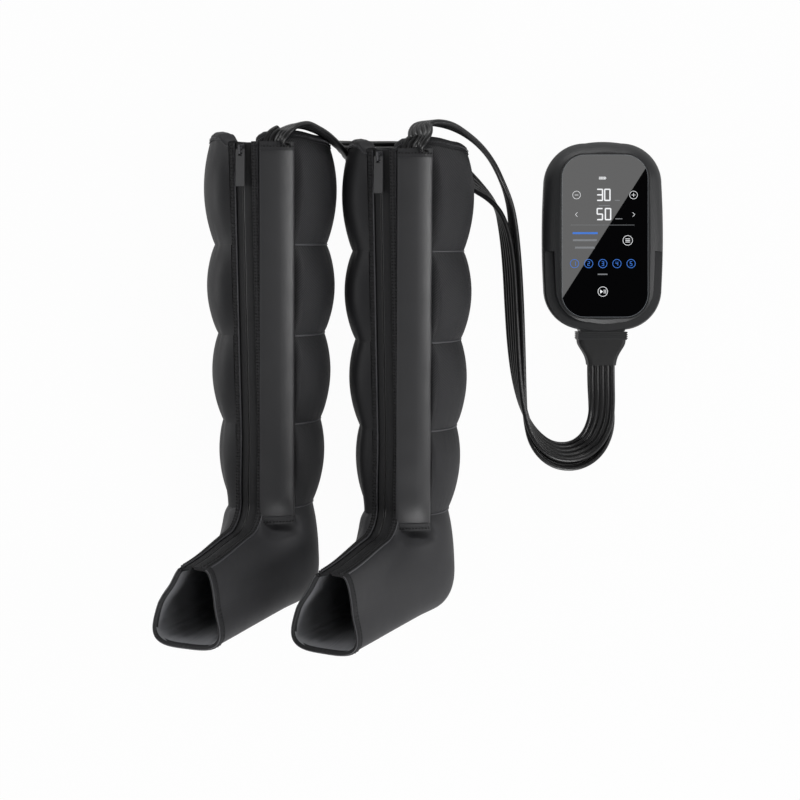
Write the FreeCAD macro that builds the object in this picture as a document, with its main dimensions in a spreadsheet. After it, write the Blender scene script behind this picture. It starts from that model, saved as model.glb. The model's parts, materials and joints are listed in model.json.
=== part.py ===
import FreeCAD, Part
import math
import os
import Sketcher

from FreeCAD import Placement, Rotation, Vector

# Air compression therapy set: a hand-held pump with a touch panel, joined by two flat
# five-way hose ribbons to a pair of knee-high boots with five air chambers each.
# The set lies on a floor at Z = 0. The boots lie on their calves with the toes up, the
# pump lies on its rubber feet. X points across the boots, Y from the soles to the rims.
# Lengths are millimetres, angles are degrees.

SIZES = [
    # the boots: heights above the sole of the rim and of the welded seams below it
    ("rim_height", 606),
    ("seam_height_a", 470),
    ("seam_height_b", 355),
    ("seam_height_c", 242),
    ("ankle_height", 132),
    # outer radii where the fabric is welded, and of the inflated bulges between the welds
    ("rim_radius", 75),
    ("seam_radius_a", 72.5),
    ("seam_radius_b", 69),
    ("seam_radius_c", 63.5),
    ("ankle_radius", 53),
    ("bulge_radius_a", 86),
    ("bulge_radius_b", 83),
    ("bulge_radius_c", 77),
    ("bulge_radius_d", 68),
    # inner radii of the leg space at the same heights
    ("bore_radius_rim", 58),
    ("bore_radius_a", 56),
    ("bore_radius_b", 52),
    ("bore_radius_c", 47),
    ("bore_radius_ankle", 40),
    ("liner_thickness", 1.5),
    ("fabric_gap", 0.3),
    ("rim_binding_depth", 7),
    ("rim_binding_lip", 1.6),
    # the foot, from the leg axis forward to the toe opening
    ("foot_length", 210),
    ("toe_height", 87),
    ("toe_half_width", 44),
    ("heel_half_width", 61),
    ("heel_reach", 55),
    ("foot_wall", 13),
    ("toe_wall", 9),
    ("toe_binding_depth", 6),
    # the zip along the shin and the instep
    ("zip_front_rim", 75.5),
    ("zip_front_ankle", 57.4),
    ("zip_bend_height", 110),
    ("zip_bend_radius", 34),
    ("zip_toe_height", 86),
    ("zip_half_width", 18),
    ("zip_binding_width", 8),
    ("zip_binding_thickness", 2),
    ("zip_tape_thickness", 1.6),
    ("coil_half_width", 3.1),
    ("coil_gap", 0.9),
    ("coil_thickness", 2.8),
    ("slider_width", 9.4),
    ("slider_length", 13),
    ("slider_plate", 1.2),
    ("slider_rise", 2),
    ("slider_drop", 18),
    ("bridge_height", 4.6),
    ("bridge_thickness", 1.3),
    ("pull_width", 12.6),
    ("pull_length", 46),
    ("pull_thickness", 1.8),
    ("pull_sag", 2.2),
    # the hose sleeve beside the zip, and what runs inside it
    ("sleeve_width", 46),
    ("sleeve_angle", 34),
    ("sleeve_drop", 9),
    ("sleeve_top_height", "=rim_height - sleeve_drop"),
    ("sleeve_bottom_height", 152),
    ("sleeve_top_radius", 79),
    ("sleeve_bottom_radius", 60),
    ("sleeve_thickness", 1.5),
    ("sleeve_depth", 4.7),
    ("sleeve_zip_edge", 0.3),
    ("sleeve_crown", 4.6),
    ("sleeve_shoulder", 1),
    ("hose_diameter", 6),
    ("hose_pitch", 7),
    ("fitting_radius", 3.4),
    # how the boots lie: leg axis, sole line, height of the ankle, roll, lift of the shin
    ("left_boot_x", -202.5),
    ("right_boot_x", -23.5),
    ("left_sole_y", -302),
    ("right_sole_y", -310.5),
    ("ankle_rest_height", 65.2),
    ("left_roll", -22),
    ("right_roll", -28),
    ("shin_lift", 2.9),
    # the pump
    ("pump_x", 236.5),
    ("pump_y", 179.5),
    ("pump_width", 160.2),
    ("pump_length", 252.6),
    ("pump_corner", 54),
    ("pump_bow", 2),
    ("foot_pad_height", 3),
    ("parting_height", 50),
    ("bezel_height", 67),
    ("shell_wall", 2.6),
    ("bezel_side", 22.85),
    ("bezel_end", 18.8),
    ("glass_width", "=pump_width - 2 * bezel_side"),
    ("glass_length", "=pump_length - 2 * bezel_end"),
    ("glass_corner", 31),
    ("glass_thickness", 1.8),
    ("trim_width", 1.2),
    ("panel_gap", 0.4),
    ("bezel_lip", 0.9),
    ("grip_edge_side", 9.25),
    ("grip_edge_end", 8.5),
    ("grip_edge_half_width", "=glass_width / 2 + grip_edge_side"),
    ("grip_edge_half_length", "=glass_length / 2 + grip_edge_end"),
    ("grip_start", -20),
    ("grip_floor", 54),
    ("fit_gap", 0.3),
    ("board_thickness", 1.6),
    ("pad_radius", 7),
    ("pad_x", 36),
    ("pad_y", 92),
    ("boss_radius", 4.5),
    ("boss_x", 55),
    ("boss_y", 85),
    ("screw_radius", 1.5),
    ("screw_head_radius", 2.8),
    ("screw_head_height", 2.2),
    ("screw_length", 20),
    ("screw_seat_height", 37),
    # the hose socket in the pump and the plug on the ribbons
    ("socket_width", 60),
    ("socket_height", 27),
    ("socket_depth", 22),
    ("socket_centre", 34),
    ("port_pitch", 11),
    ("port_row", 13),
    ("port_radius", 2.9),
    ("nozzle_radius", 2.5),
    ("nozzle_bore", 1.3),
    ("nozzle_length", 14),
    ("plug_width", 66),
    ("plug_height", 32),
    ("plug_grip_length", 12),
    ("rib_depth", 0.9),
    ("rib_pitch", 2.6),
    ("plug_boot_length", 34),
    ("plug_neck_width", 37),
    ("bundle_diameter", 14),
    # what the pump holds inside
    ("motor_radius", 13.5),
    ("motor_length", 40),
    ("head_width", 36),
    ("head_length", 30),
    ("head_height", 30),
    ("battery_width", 62),
    ("battery_length", 92),
    ("battery_height", 21),
    ("main_board_width", 98),
    ("main_board_length", 48),
    ("post_height", 6),
    ("valve_width", 10),
    ("valve_length", 16),
    ("valve_height", 18),
    ("manifold_length", 18),
    ("manifold_height", 22),
    ("tube_radius", 2.6),
    ("inlet_radius", 5),
    ("inlet_bore", 3.2),
    ("inlet_length", 14),
    ("inlet_x", 40),
    ("inlet_height", 24),
]

doc = FreeCAD.newDocument("compression_therapy_set")
sheet = doc.addObject("Spreadsheet::Sheet", "Sizes")
for row, (alias, number) in enumerate(SIZES, start=1):
    sheet.set("A%d" % row, alias)
    sheet.set("B%d" % row, str(number))
    sheet.setAlias("B%d" % row, alias)
doc.recompute()


class Length:
    """A length that carries its number and the sheet expression that it comes from."""

    def __init__(self, value, text):
        self.value = value
        self.text = text

    def __add__(self, other):
        other = length(other)
        return Length(self.value + other.value, "(%s + %s)" % (self.text, other.text))

    def __sub__(self, other):
        other = length(other)
        return Length(self.value - other.value, "(%s - %s)" % (self.text, other.text))

    def __mul__(self, other):
        other = length(other)
        return Length(self.value * other.value, "(%s * %s)" % (self.text, other.text))

    def __truediv__(self, other):
        other = length(other)
        return Length(self.value / other.value, "(%s / %s)" % (self.text, other.text))

    def __radd__(self, other):
        return length(other) + self

    def __rsub__(self, other):
        return length(other) - self

    def __rmul__(self, other):
        return length(other) * self

    def __neg__(self):
        return Length(-self.value, "(-1 * %s)" % self.text)

    def root(self):
        return Length(math.sqrt(self.value), "sqrt(%s)" % self.text)


def length(number):
    """The number as a Length, or the Length itself."""
    if isinstance(number, Length):
        return number
    return Length(float(number), "(%s)" % repr(float(number)))


def size(alias):
    """The named size, tied to its cell."""
    return Length(float(sheet.get(alias)), "Sizes.%s" % alias)


def mm(alias):
    """The named size as a plain number, for shapes that are worked out point by point."""
    return float(sheet.get(alias))


NODES = []


def node(obj, label):
    """Keeps an object as one sub-part of the set."""
    obj.Label = label
    NODES.append(obj)
    return obj


def bind(obj, **values):
    """Ties an object's properties to sizes: Length=..., x=..., y=..., z=..."""
    names = {"x": ".Placement.Base.x", "y": ".Placement.Base.y", "z": ".Placement.Base.z"}
    for name, value in values.items():
        obj.setExpression(names.get(name, name), length(value).text)
    return obj


def box(x, y, z, across, along, up):
    """A block from its lowest corner and its three sizes."""
    block = doc.addObject("Part::Box", "block")
    return bind(block, x=x, y=y, z=z, Length=across, Width=along, Height=up)


def centred_box(x, y, z, across, along, up):
    """A block that stands on z, centred on x and y."""
    return box(length(x) - length(across) / 2, length(y) - length(along) / 2, z, across, along, up)


def rod(x, y, z, radius, tall, axis=Vector(0, 0, 1)):
    """A cylinder from the middle of its first face, along an axis."""
    cylinder = doc.addObject("Part::Cylinder", "rod")
    cylinder.Placement = Placement(Vector(), Rotation(Vector(0, 0, 1), axis))
    return bind(cylinder, x=x, y=y, z=z, Radius=radius, Height=tall)


def fuse(parts):
    joined = doc.addObject("Part::MultiFuse", "joined")
    joined.Shapes = parts
    return joined


def group(parts):
    compound = doc.addObject("Part::Compound", "group")
    compound.Links = parts
    return compound


def cut(base, tool):
    result = doc.addObject("Part::Cut", "cut")
    result.Base = base
    result.Tool = tool
    return result


def cut_all(base, tools):
    """The base less each tool in turn."""
    for tool in tools:
        base = cut(base, tool)
    return base


def new_body(name):
    return doc.addObject("PartDesign::Body", name)


def new_sketch(body, role, lift=0):
    """A sketch on one of the body's own planes, lifted off it along the plane's normal."""
    plane = [feature for feature in body.Origin.OriginFeatures if feature.Role == role][0]
    sketch = body.newObject("Sketcher::SketchObject", "sketch")
    sketch.AttachmentSupport = (plane, [""])
    sketch.MapMode = "FlatFace"
    sketch.setExpression("AttachmentOffset.Base.z", length(lift).text)
    return sketch


def pin_point(sketch, geometry, place, x, y):
    """Holds one end of a line or arc, or a circle's centre, at x and y."""
    for kind, value in (("DistanceX", length(x)), ("DistanceY", length(y))):
        index = sketch.addConstraint(Sketcher.Constraint(kind, -1, 1, geometry, place, value.value))
        sketch.setExpression("Constraints[%d]" % index, value.text)


def outline(sketch, corners):
    """A closed outline through (x, y) corners; (x, y, r) reaches its corner by an arc of radius r.

    A positive radius bends the arc to the right of the way from corner to corner.
    """
    count = len(corners)
    drawn = []
    for index in range(count):
        start = corners[index]
        end = corners[(index + 1) % count]
        first = Vector(length(start[0]).value, length(start[1]).value, 0)
        last = Vector(length(end[0]).value, length(end[1]).value, 0)
        if len(end) == 2:
            drawn.append(sketch.addGeometry(Part.LineSegment(first, last), False))
            continue
        radius = length(end[2])
        chord = last - first
        half = chord.Length / 2
        bend = abs(radius.value)
        side = Vector(chord.y, -chord.x, 0).normalize() * math.copysign(1, radius.value)
        middle = (first + last) / 2 + side * (bend - math.sqrt(bend ** 2 - half ** 2))
        drawn.append(sketch.addGeometry(Part.Arc(first, middle, last), False))
    for index, item in enumerate(drawn):
        start = corners[index]
        end = corners[(index + 1) % count]
        following = drawn[(index + 1) % count]
        is_arc = len(end) == 3
        own_start = sketch.getPoint(item, 1)
        target = Vector(length(start[0]).value, length(start[1]).value, 0)
        first_place = 1 if (own_start - target).Length < 1e-6 else 2
        pin_point(sketch, item, first_place, start[0], start[1])
        last_place = 3 - first_place
        joint = Vector(length(end[0]).value, length(end[1]).value, 0)
        next_place = 1 if (sketch.getPoint(following, 1) - joint).Length < 1e-6 else 2
        sketch.addConstraint(Sketcher.Constraint("Coincident", item, last_place, following, next_place))
        if is_arc:
            bend = length(end[2])
            sign = 1 if bend.value > 0 else -1
            index_radius = sketch.addConstraint(Sketcher.Constraint("Radius", item, abs(bend.value)))
            sketch.setExpression("Constraints[%d]" % index_radius, (bend * sign).text)
    return sketch


def bowed_rectangle(sketch, width, tall, corner, bow):
    """A rectangle with round corners whose sides swell outward by bow."""
    half_w = length(width) / 2
    half_t = length(tall) / 2
    corner = length(corner)
    bow = length(bow)
    run_x = half_w - bow - corner
    run_y = half_t - bow - corner
    edge_x = half_w - bow
    edge_y = half_t - bow
    side_x = (run_y * run_y + bow * bow) / (bow * 2)
    side_y = (run_x * run_x + bow * bow) / (bow * 2)
    outline(sketch, [
        (edge_x, -run_y, corner),
        (edge_x, run_y, side_x),
        (run_x, edge_y, corner),
        (-run_x, edge_y, side_y),
        (-edge_x, run_y, corner),
        (-edge_x, -run_y, side_x),
        (-run_x, -edge_y, corner),
        (run_x, -edge_y, side_y),
    ])


def loft(body, kind, sections):
    """An AdditiveLoft or SubtractiveLoft through sketches."""
    feature = body.newObject("PartDesign::%s" % kind, "loft")
    feature.Profile = sections[0]
    feature.Sections = sections[1:]
    feature.Ruled = False
    body.Tip = feature
    return feature


def shell_sections(body, stations):
    """One bowed rectangle per station: (height, width, length, corner)."""
    sketches = []
    for height, width, tall, corner in stations:
        sketch = new_sketch(body, "XY_Plane", height)
        bowed_rectangle(sketch, width, tall, corner, size("pump_bow"))
        sketches.append(sketch)
    return sketches


def pad(body, sketch, tall, both_ways=False):
    feature = body.newObject("PartDesign::Pad", "pad")
    feature.Profile = sketch
    feature.setExpression("Length", length(tall).text)
    feature.Midplane = both_ways
    body.Tip = feature
    return feature


def pocket(body, sketch, deep, reverse=False):
    feature = body.newObject("PartDesign::Pocket", "pocket")
    feature.Profile = sketch
    feature.setExpression("Length", length(deep).text)
    feature.Reversed = reverse
    body.Tip = feature
    return feature


def circles(sketch, places, radius):
    """Equal circles at (x, y) places."""
    radius = length(radius)
    for x, y in places:
        ring = Part.Circle(Vector(length(x).value, length(y).value, 0), Vector(0, 0, 1), radius.value)
        item = sketch.addGeometry(ring, False)
        index = sketch.addConstraint(Sketcher.Constraint("Radius", item, radius.value))
        sketch.setExpression("Constraints[%d]" % index, radius.text)
        pin_point(sketch, item, 3, x, y)



# ---------------------------------------------------------------- the boots

UP = Vector(0, 0, 1)
SIDE = Vector(1, 0, 0)
FAR = 900


def boot_place(hand):
    """The foot's placement: local z runs up the leg, local -y points at the toes."""
    across = mm(hand + "_boot_x")
    along = mm(hand + "_sole_y")
    lying = Placement(Vector(), Rotation(SIDE, -90))
    rolled = Placement(Vector(), Rotation(UP, mm(hand + "_roll")))
    return Placement(Vector(across, along, mm("ankle_rest_height")), Rotation()) * lying * rolled


def leg_place(hand):
    """The leg's placement: the foot's, with the shin lifted about the ankle."""
    foot = boot_place(hand)
    pivot = foot.multVec(Vector(0, 0, mm("ankle_height")))
    lift = Placement(Vector(), Rotation(SIDE, mm("shin_lift")))
    return Placement(pivot, Rotation()) * lift * Placement(-pivot, Rotation()) * foot


def sleeve_place(hand):
    """The sleeve's placement: z up the sleeve, y out of the leg, from its bottom end."""
    turn = math.radians(mm("sleeve_angle"))
    out = Vector(math.sin(turn), -math.cos(turn), 0)
    bottom = out * mm("sleeve_bottom_radius") + UP * mm("sleeve_bottom_height")
    top = out * mm("sleeve_top_radius") + UP * mm("sleeve_top_height")
    along = (top - bottom).normalize()
    across = out.cross(along).normalize()
    normal = along.cross(across)
    return leg_place(hand) * Placement(bottom, Rotation(across, normal, along, "ZXY"))


def sleeve_length():
    rise = mm("sleeve_top_height") - mm("sleeve_bottom_height")
    taper = mm("sleeve_top_radius") - mm("sleeve_bottom_radius")
    return math.hypot(rise, taper)


def feature(shape, place, name="form"):
    """A piece of fabric or hose whose shape is worked out from the sheet."""
    piece = doc.addObject("Part::Feature", name)
    piece.Shape = shape
    piece.Placement = place
    return piece


def zip_path(hand):
    """The zip's line in the leg's (y, z) plane: down the shin, then along the instep."""
    rim = Vector(0, -mm("zip_front_rim"), mm("rim_height"))
    ankle = Vector(0, -mm("zip_front_ankle"), mm("zip_bend_height"))
    toe = boot_place(hand).multVec(Vector(0, -mm("foot_length"), mm("zip_toe_height")))
    toe = leg_place(hand).inverse().multVec(toe)
    return rim, ankle, Vector(0, toe.y, toe.z)


def zip_band(hand, inner, outer, low=0.0, high=0.0):
    """A face in the (y, z) plane between two lines that run beside the zip's line.

    inner and outer are measured out of the boot; low and high lengthen its two ends.
    """
    rim, ankle, toe = zip_path(hand)
    down = (ankle - rim).normalize()
    forth = (toe - ankle).normalize()
    out_down = Vector(0, down.z, -down.y)
    out_forth = Vector(0, forth.z, -forth.y)
    turn = down.getAngle(forth)
    tangent = mm("zip_bend_radius") * math.tan(turn / 2)
    leave = ankle - down * tangent
    meet = ankle + forth * tangent
    centre = leave + out_down * mm("zip_bend_radius")
    start = rim - down * high
    finish = toe + forth * low

    def line(offset):
        a = start + out_down * offset
        b = leave + out_down * offset
        c = meet + out_forth * offset
        d = finish + out_forth * offset
        middle_way = ((b - centre) + (c - centre)).normalize() * (mm("zip_bend_radius") - offset)
        return [Part.LineSegment(a, b), Part.Arc(b, centre + middle_way, c), Part.LineSegment(c, d)], a, d

    near, near_start, near_end = line(inner)
    far, far_start, far_end = line(outer)
    caps = [Part.LineSegment(near_end, far_end), Part.LineSegment(far_start, near_start)]
    edges = [curve.toShape() for curve in near + far + caps]
    return Part.Face(Part.Wire(Part.__sortEdges__(edges)))


def zip_strip(hand, inner, outer, left, right, low=0.0, high=0.0):
    """A strip of the zip from x = left to x = right."""
    face = zip_band(hand, inner, outer, low, high)
    face.translate(SIDE * left)
    return face.extrude(SIDE * (right - left))


def foot_slack():
    """How far the foot's form runs on past the ankle and the toe opening before it is trimmed."""
    return mm("foot_length") * 0.02


def foot_stations(sole_inset, top_inset, side_inset):
    """The foot's sections: (heel or sole point, shin or instep point, half width, pinch)."""
    reach = mm("heel_reach")
    ankle = mm("ankle_height")
    front = mm("zip_front_ankle")
    length_forward = mm("foot_length")
    toe = mm("toe_height")
    wide = mm("heel_half_width")
    toe_wide = mm("toe_half_width")
    slack = 2 * foot_slack()
    end = -length_forward - foot_slack()
    round_ankle = mm("ankle_radius") * 1.01
    rows = [
        ((reach * 0.97, ankle + slack), (-front * 1.02, ankle + slack), round_ankle, 0.0),
        ((reach * 0.98, ankle * 0.76), (-front * 1.12, ankle * 0.95), wide * 0.95, 0.02),
        ((reach, ankle * 0.455), (-front * 1.26, ankle * 0.87), wide, 0.06),
        ((reach * 0.89, ankle * 0.15), (-front * 1.48, ankle * 0.82), wide, 0.12),
        ((reach * 0.36, -toe * 0.07), (-front * 1.86, ankle * 0.78), wide * 0.95, 0.18),
        ((-length_forward * 0.24, -toe * 0.07), (-length_forward * 0.67, toe * 1.12), (wide + toe_wide) / 2, 0.26),
        ((-length_forward * 0.64, -toe * 0.046), (-length_forward * 0.835, toe * 1.05), toe_wide * 1.045, 0.32),
        ((end, -toe * 0.023), (end, toe * 0.98), toe_wide, 0.34),
    ]
    sections = []
    for index, (sole, top, half, pinch) in enumerate(rows):
        back = Vector(0, sole[0], sole[1])
        front_point = Vector(0, top[0], top[1])
        way = (front_point - back).normalize()
        back = back + way * sole_inset[index]
        front_point = front_point - way * top_inset[index]
        sections.append(((back + front_point) / 2, (front_point - back) / 2, half - side_inset[index], pinch))
    return sections


def foot_section(centre, rise, half, pinch, points=20):
    """A closed section: round at the ankle, and the more pinch, the squarer the sole's corners.

    The instep side is narrower by pinch.
    """
    dots = []
    for index in range(points):
        turn = 2 * math.pi * index / points
        level = math.cos(turn)
        squareness = pinch * (3.2 if level < 0 else 0.8)
        power = 2 / (2 + squareness)
        level = math.copysign(abs(level) ** power, level)
        across = math.copysign(abs(math.sin(turn)) ** power, math.sin(turn))
        across = across * half * (1 - pinch * level - pinch * 0.25)
        dots.append(centre + rise * level + SIDE * across)
    curve = Part.BSplineCurve()
    curve.interpolate(dots, True)
    return Part.Wire([curve.toShape()])


def foot_solid(sole_inset, top_inset, side_inset):
    """The foot's form: ruled skins from section to section, capped at the ankle and the toes."""
    wires = [foot_section(*station) for station in foot_stations(sole_inset, top_inset, side_inset)]
    skins = [Part.makeRuledSurface(near.Edges[0], far.Edges[0]) for near, far in zip(wires, wires[1:])]
    shell = Part.makeShell(skins + [Part.Face(wires[0]), Part.Face(wires[-1])])
    shell.sewShape()
    return Part.makeSolid(shell)


def wall_insets():
    """How far the foot's inner space lies inside its outside, section by section."""
    wall = mm("foot_wall")
    toe = mm("toe_wall")
    sole = [wall, wall, wall, wall * 1.3, wall * 1.6, wall * 1.4, wall * 1.15, toe * 1.33]
    top = [wall, wall, wall, wall, wall * 0.92, wall * 0.85, wall * 0.77, toe * 0.78]
    side = [wall, wall, wall * 1.08, wall * 1.08, wall, wall * 0.92, wall * 0.85, toe]
    return sole, top, side


def chamber_body(name, low, high, radii, bores, bulge):
    """One air chamber: a barrel-shaped ring between two welds, turned about the leg's axis."""
    body = new_body(name)
    sketch = new_sketch(body, "XZ_Plane")
    low_r, high_r = radii
    rise = high - low
    half_sum = (low_r + high_r) / 2
    half_chord_squared = (rise * rise + (high_r - low_r) * (high_r - low_r)) / 4
    swell = bulge - half_sum
    bend = (half_chord_squared + swell * swell) / (swell * 2)
    outline(sketch, [
        (bores[0], low),
        (low_r, low),
        (high_r, high, bend),
        (bores[1], high),
    ])
    turned = body.newObject("PartDesign::Revolution", "turned")
    turned.Profile = sketch
    turned.ReferenceAxis = (sketch, ["V_Axis"])
    turned.Angle = 360
    body.Tip = turned
    return body


def ring_body(name, corners):
    """A ring turned about the leg's axis from (radius, height) corners."""
    body = new_body(name)
    sketch = new_sketch(body, "XZ_Plane")
    outline(sketch, corners)
    turned = body.newObject("PartDesign::Revolution", "turned")
    turned.Profile = sketch
    turned.ReferenceAxis = (sketch, ["V_Axis"])
    turned.Angle = 360
    body.Tip = turned
    return body


def sleeve_section(body):
    """The sleeve's outer section, as a sketch across the sleeve."""
    half = size("sleeve_width") / 2
    shoulder = size("sleeve_shoulder")
    rise = size("sleeve_crown") - size("sleeve_shoulder")
    bend = (half * half + rise * rise) / (rise * 2)
    sketch = new_sketch(body, "XY_Plane")
    outline(sketch, [
        (-half, -size("sleeve_depth")),
        (half, -size("sleeve_zip_edge")),
        (half, shoulder),
        (-half, shoulder, bend),
    ])
    return sketch


def sleeve_body(hand):
    """The sewn sleeve over the hoses: an arched channel that is open towards the leg."""
    body = new_body(hand + "_sleeve_form")
    pad(body, sleeve_section(body), sleeve_length())
    skin = size("sleeve_thickness")
    half = size("sleeve_width") / 2 - skin
    shoulder = size("sleeve_shoulder") - skin * 0.6
    rise = size("sleeve_crown") - size("sleeve_shoulder")
    bend = (half * half + rise * rise) / (rise * 2)
    hollow = new_sketch(body, "XY_Plane", 0)
    outline(hollow, [
        (-half, -size("sleeve_depth") - 1),
        (half, -size("sleeve_depth") - 1),
        (half, shoulder),
        (-half, shoulder, bend),
    ])
    pocket(body, hollow, FAR, True)
    body.Placement = sleeve_place(hand)
    return body


# everything below the floor, where the soft chambers flatten
floor = box(-FAR / 2, -FAR / 2, -40, FAR, FAR, 40)

LEG = [
    ("1", "seam_height_a", "rim_height", ("seam_radius_a", "rim_radius"),
     ("bore_radius_a", "bore_radius_rim"), "bulge_radius_a"),
    ("2", "seam_height_b", "seam_height_a", ("seam_radius_b", "seam_radius_a"),
     ("bore_radius_b", "bore_radius_a"), "bulge_radius_b"),
    ("3", "seam_height_c", "seam_height_b", ("seam_radius_c", "seam_radius_b"),
     ("bore_radius_c", "bore_radius_b"), "bulge_radius_c"),
    ("4", "ankle_height", "seam_height_c", ("ankle_radius", "seam_radius_c"),
     ("bore_radius_ankle", "bore_radius_c"), "bulge_radius_d"),
]


def slider_place(hand):
    """The slider's placement: z up the zip, -y out of the boot, on the middle of the coils."""
    rim, ankle, toe = zip_path(hand)
    up = (rim - ankle).normalize()
    out = Vector(0, up.z * -1, up.y)
    share = (rim.z - mm("slider_drop") - ankle.z) / (rim.z - ankle.z)
    spot = ankle + (rim - ankle) * share - out * (mm("zip_tape_thickness") / 2)
    return leg_place(hand) * Placement(spot, Rotation(SIDE, -out, up, "ZXY"))


def slider(hand):
    """The slider: two plates round the coils, the post between them and the pull's bridge."""
    width = size("slider_width")
    tall = size("slider_length")
    plate = size("slider_plate")
    rise = size("slider_rise")
    post = (size("coil_gap") - 0.3) * 2
    bridge = size("bridge_thickness")
    high = size("bridge_height")
    pieces = [
        box(-width / 2, -rise - plate, -tall / 2, width, plate, tall),
        box(-width / 2, rise, -tall / 2, width, plate, tall),
        box(-post / 2, -rise - 0.1, tall * 0.1, post, rise * 2 + 0.2, tall * 0.35),
        box(-bridge, -rise - plate - high, tall / 2 - bridge * 2, bridge * 2, high + 0.1, bridge),
        box(-bridge, -rise - plate - high, -tall / 2 + bridge, bridge * 2, high + 0.1, bridge),
        box(-bridge, -rise - plate - high, -tall / 2 + bridge, bridge * 2, bridge, tall - bridge * 3),
    ]
    body = fuse(pieces)
    body.Placement = slider_place(hand)
    node(body, hand + "_zip_slider")


def pull_tab(hand):
    """The flat pull: a window at its upper end leaves a bar that turns under the bridge."""
    width = size("pull_width")
    tall = size("pull_length")
    thick = size("pull_thickness")
    window = width * 0.42
    bar = thick * 0.5
    plate = fuse([
        centred_box(0, 0, -tall + bar, width, thick, tall - bar),
        rod(-width / 2, 0, 0, bar, width, SIDE),
    ])
    hole = box(-window / 2, -thick, -bar - window * 1.3, window, thick * 2, window * 1.3)
    trimmed = cut(plate, hole)
    sag = math.degrees(math.asin(mm("pull_sag") / mm("pull_length")))
    away = -(mm("slider_rise") + mm("slider_plate") + (mm("bridge_height") - mm("bridge_thickness")) / 2)
    drop = Placement(Vector(0, away, 0), Rotation(SIDE, -sag))
    trimmed.Placement = slider_place(hand) * drop
    node(trimmed, hand + "_pull_tab")


def sleeve_hoses(hand):
    """Five hoses of stepped length in the sleeve, each with a fitting on its own chamber."""
    place = sleeve_place(hand)
    top = sleeve_length()
    reach = mm("hose_diameter") / 2
    level = -mm("sleeve_depth") + reach + 0.1
    leg_drop = mm("sleeve_top_height")
    ends = [
        (mm("seam_height_a") + mm("sleeve_top_height")) / 2,
        (mm("seam_height_b") + mm("seam_height_a")) / 2,
        (mm("seam_height_c") + mm("seam_height_b")) / 2,
        mm("seam_height_c") - 30,
        mm("sleeve_bottom_height") + 12,
    ]
    hoses = []
    fittings = []
    for index, end in enumerate(ends):
        across = (index - 2) * mm("hose_pitch")
        low = top - (leg_drop - end)
        hose = Part.makeCylinder(reach, top - low, Vector(across, level, low))
        hose = hose.cut(Part.makeCylinder(reach * 0.6, top - low, Vector(across, level, low)))
        hoses.append(hose)
        radius = mm("fitting_radius")
        stem = Part.makeCylinder(
            radius, mm("hose_diameter"), Vector(across, -mm("sleeve_depth") - 0.1, low - radius), Vector(0, 1, 0))
        fittings.append(stem)
    node(feature(Part.makeCompound(hoses), place, "hoses"), hand + "_inner_hoses")
    node(feature(Part.makeCompound(fittings), place, "fittings"), hand + "_air_fittings")


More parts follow.
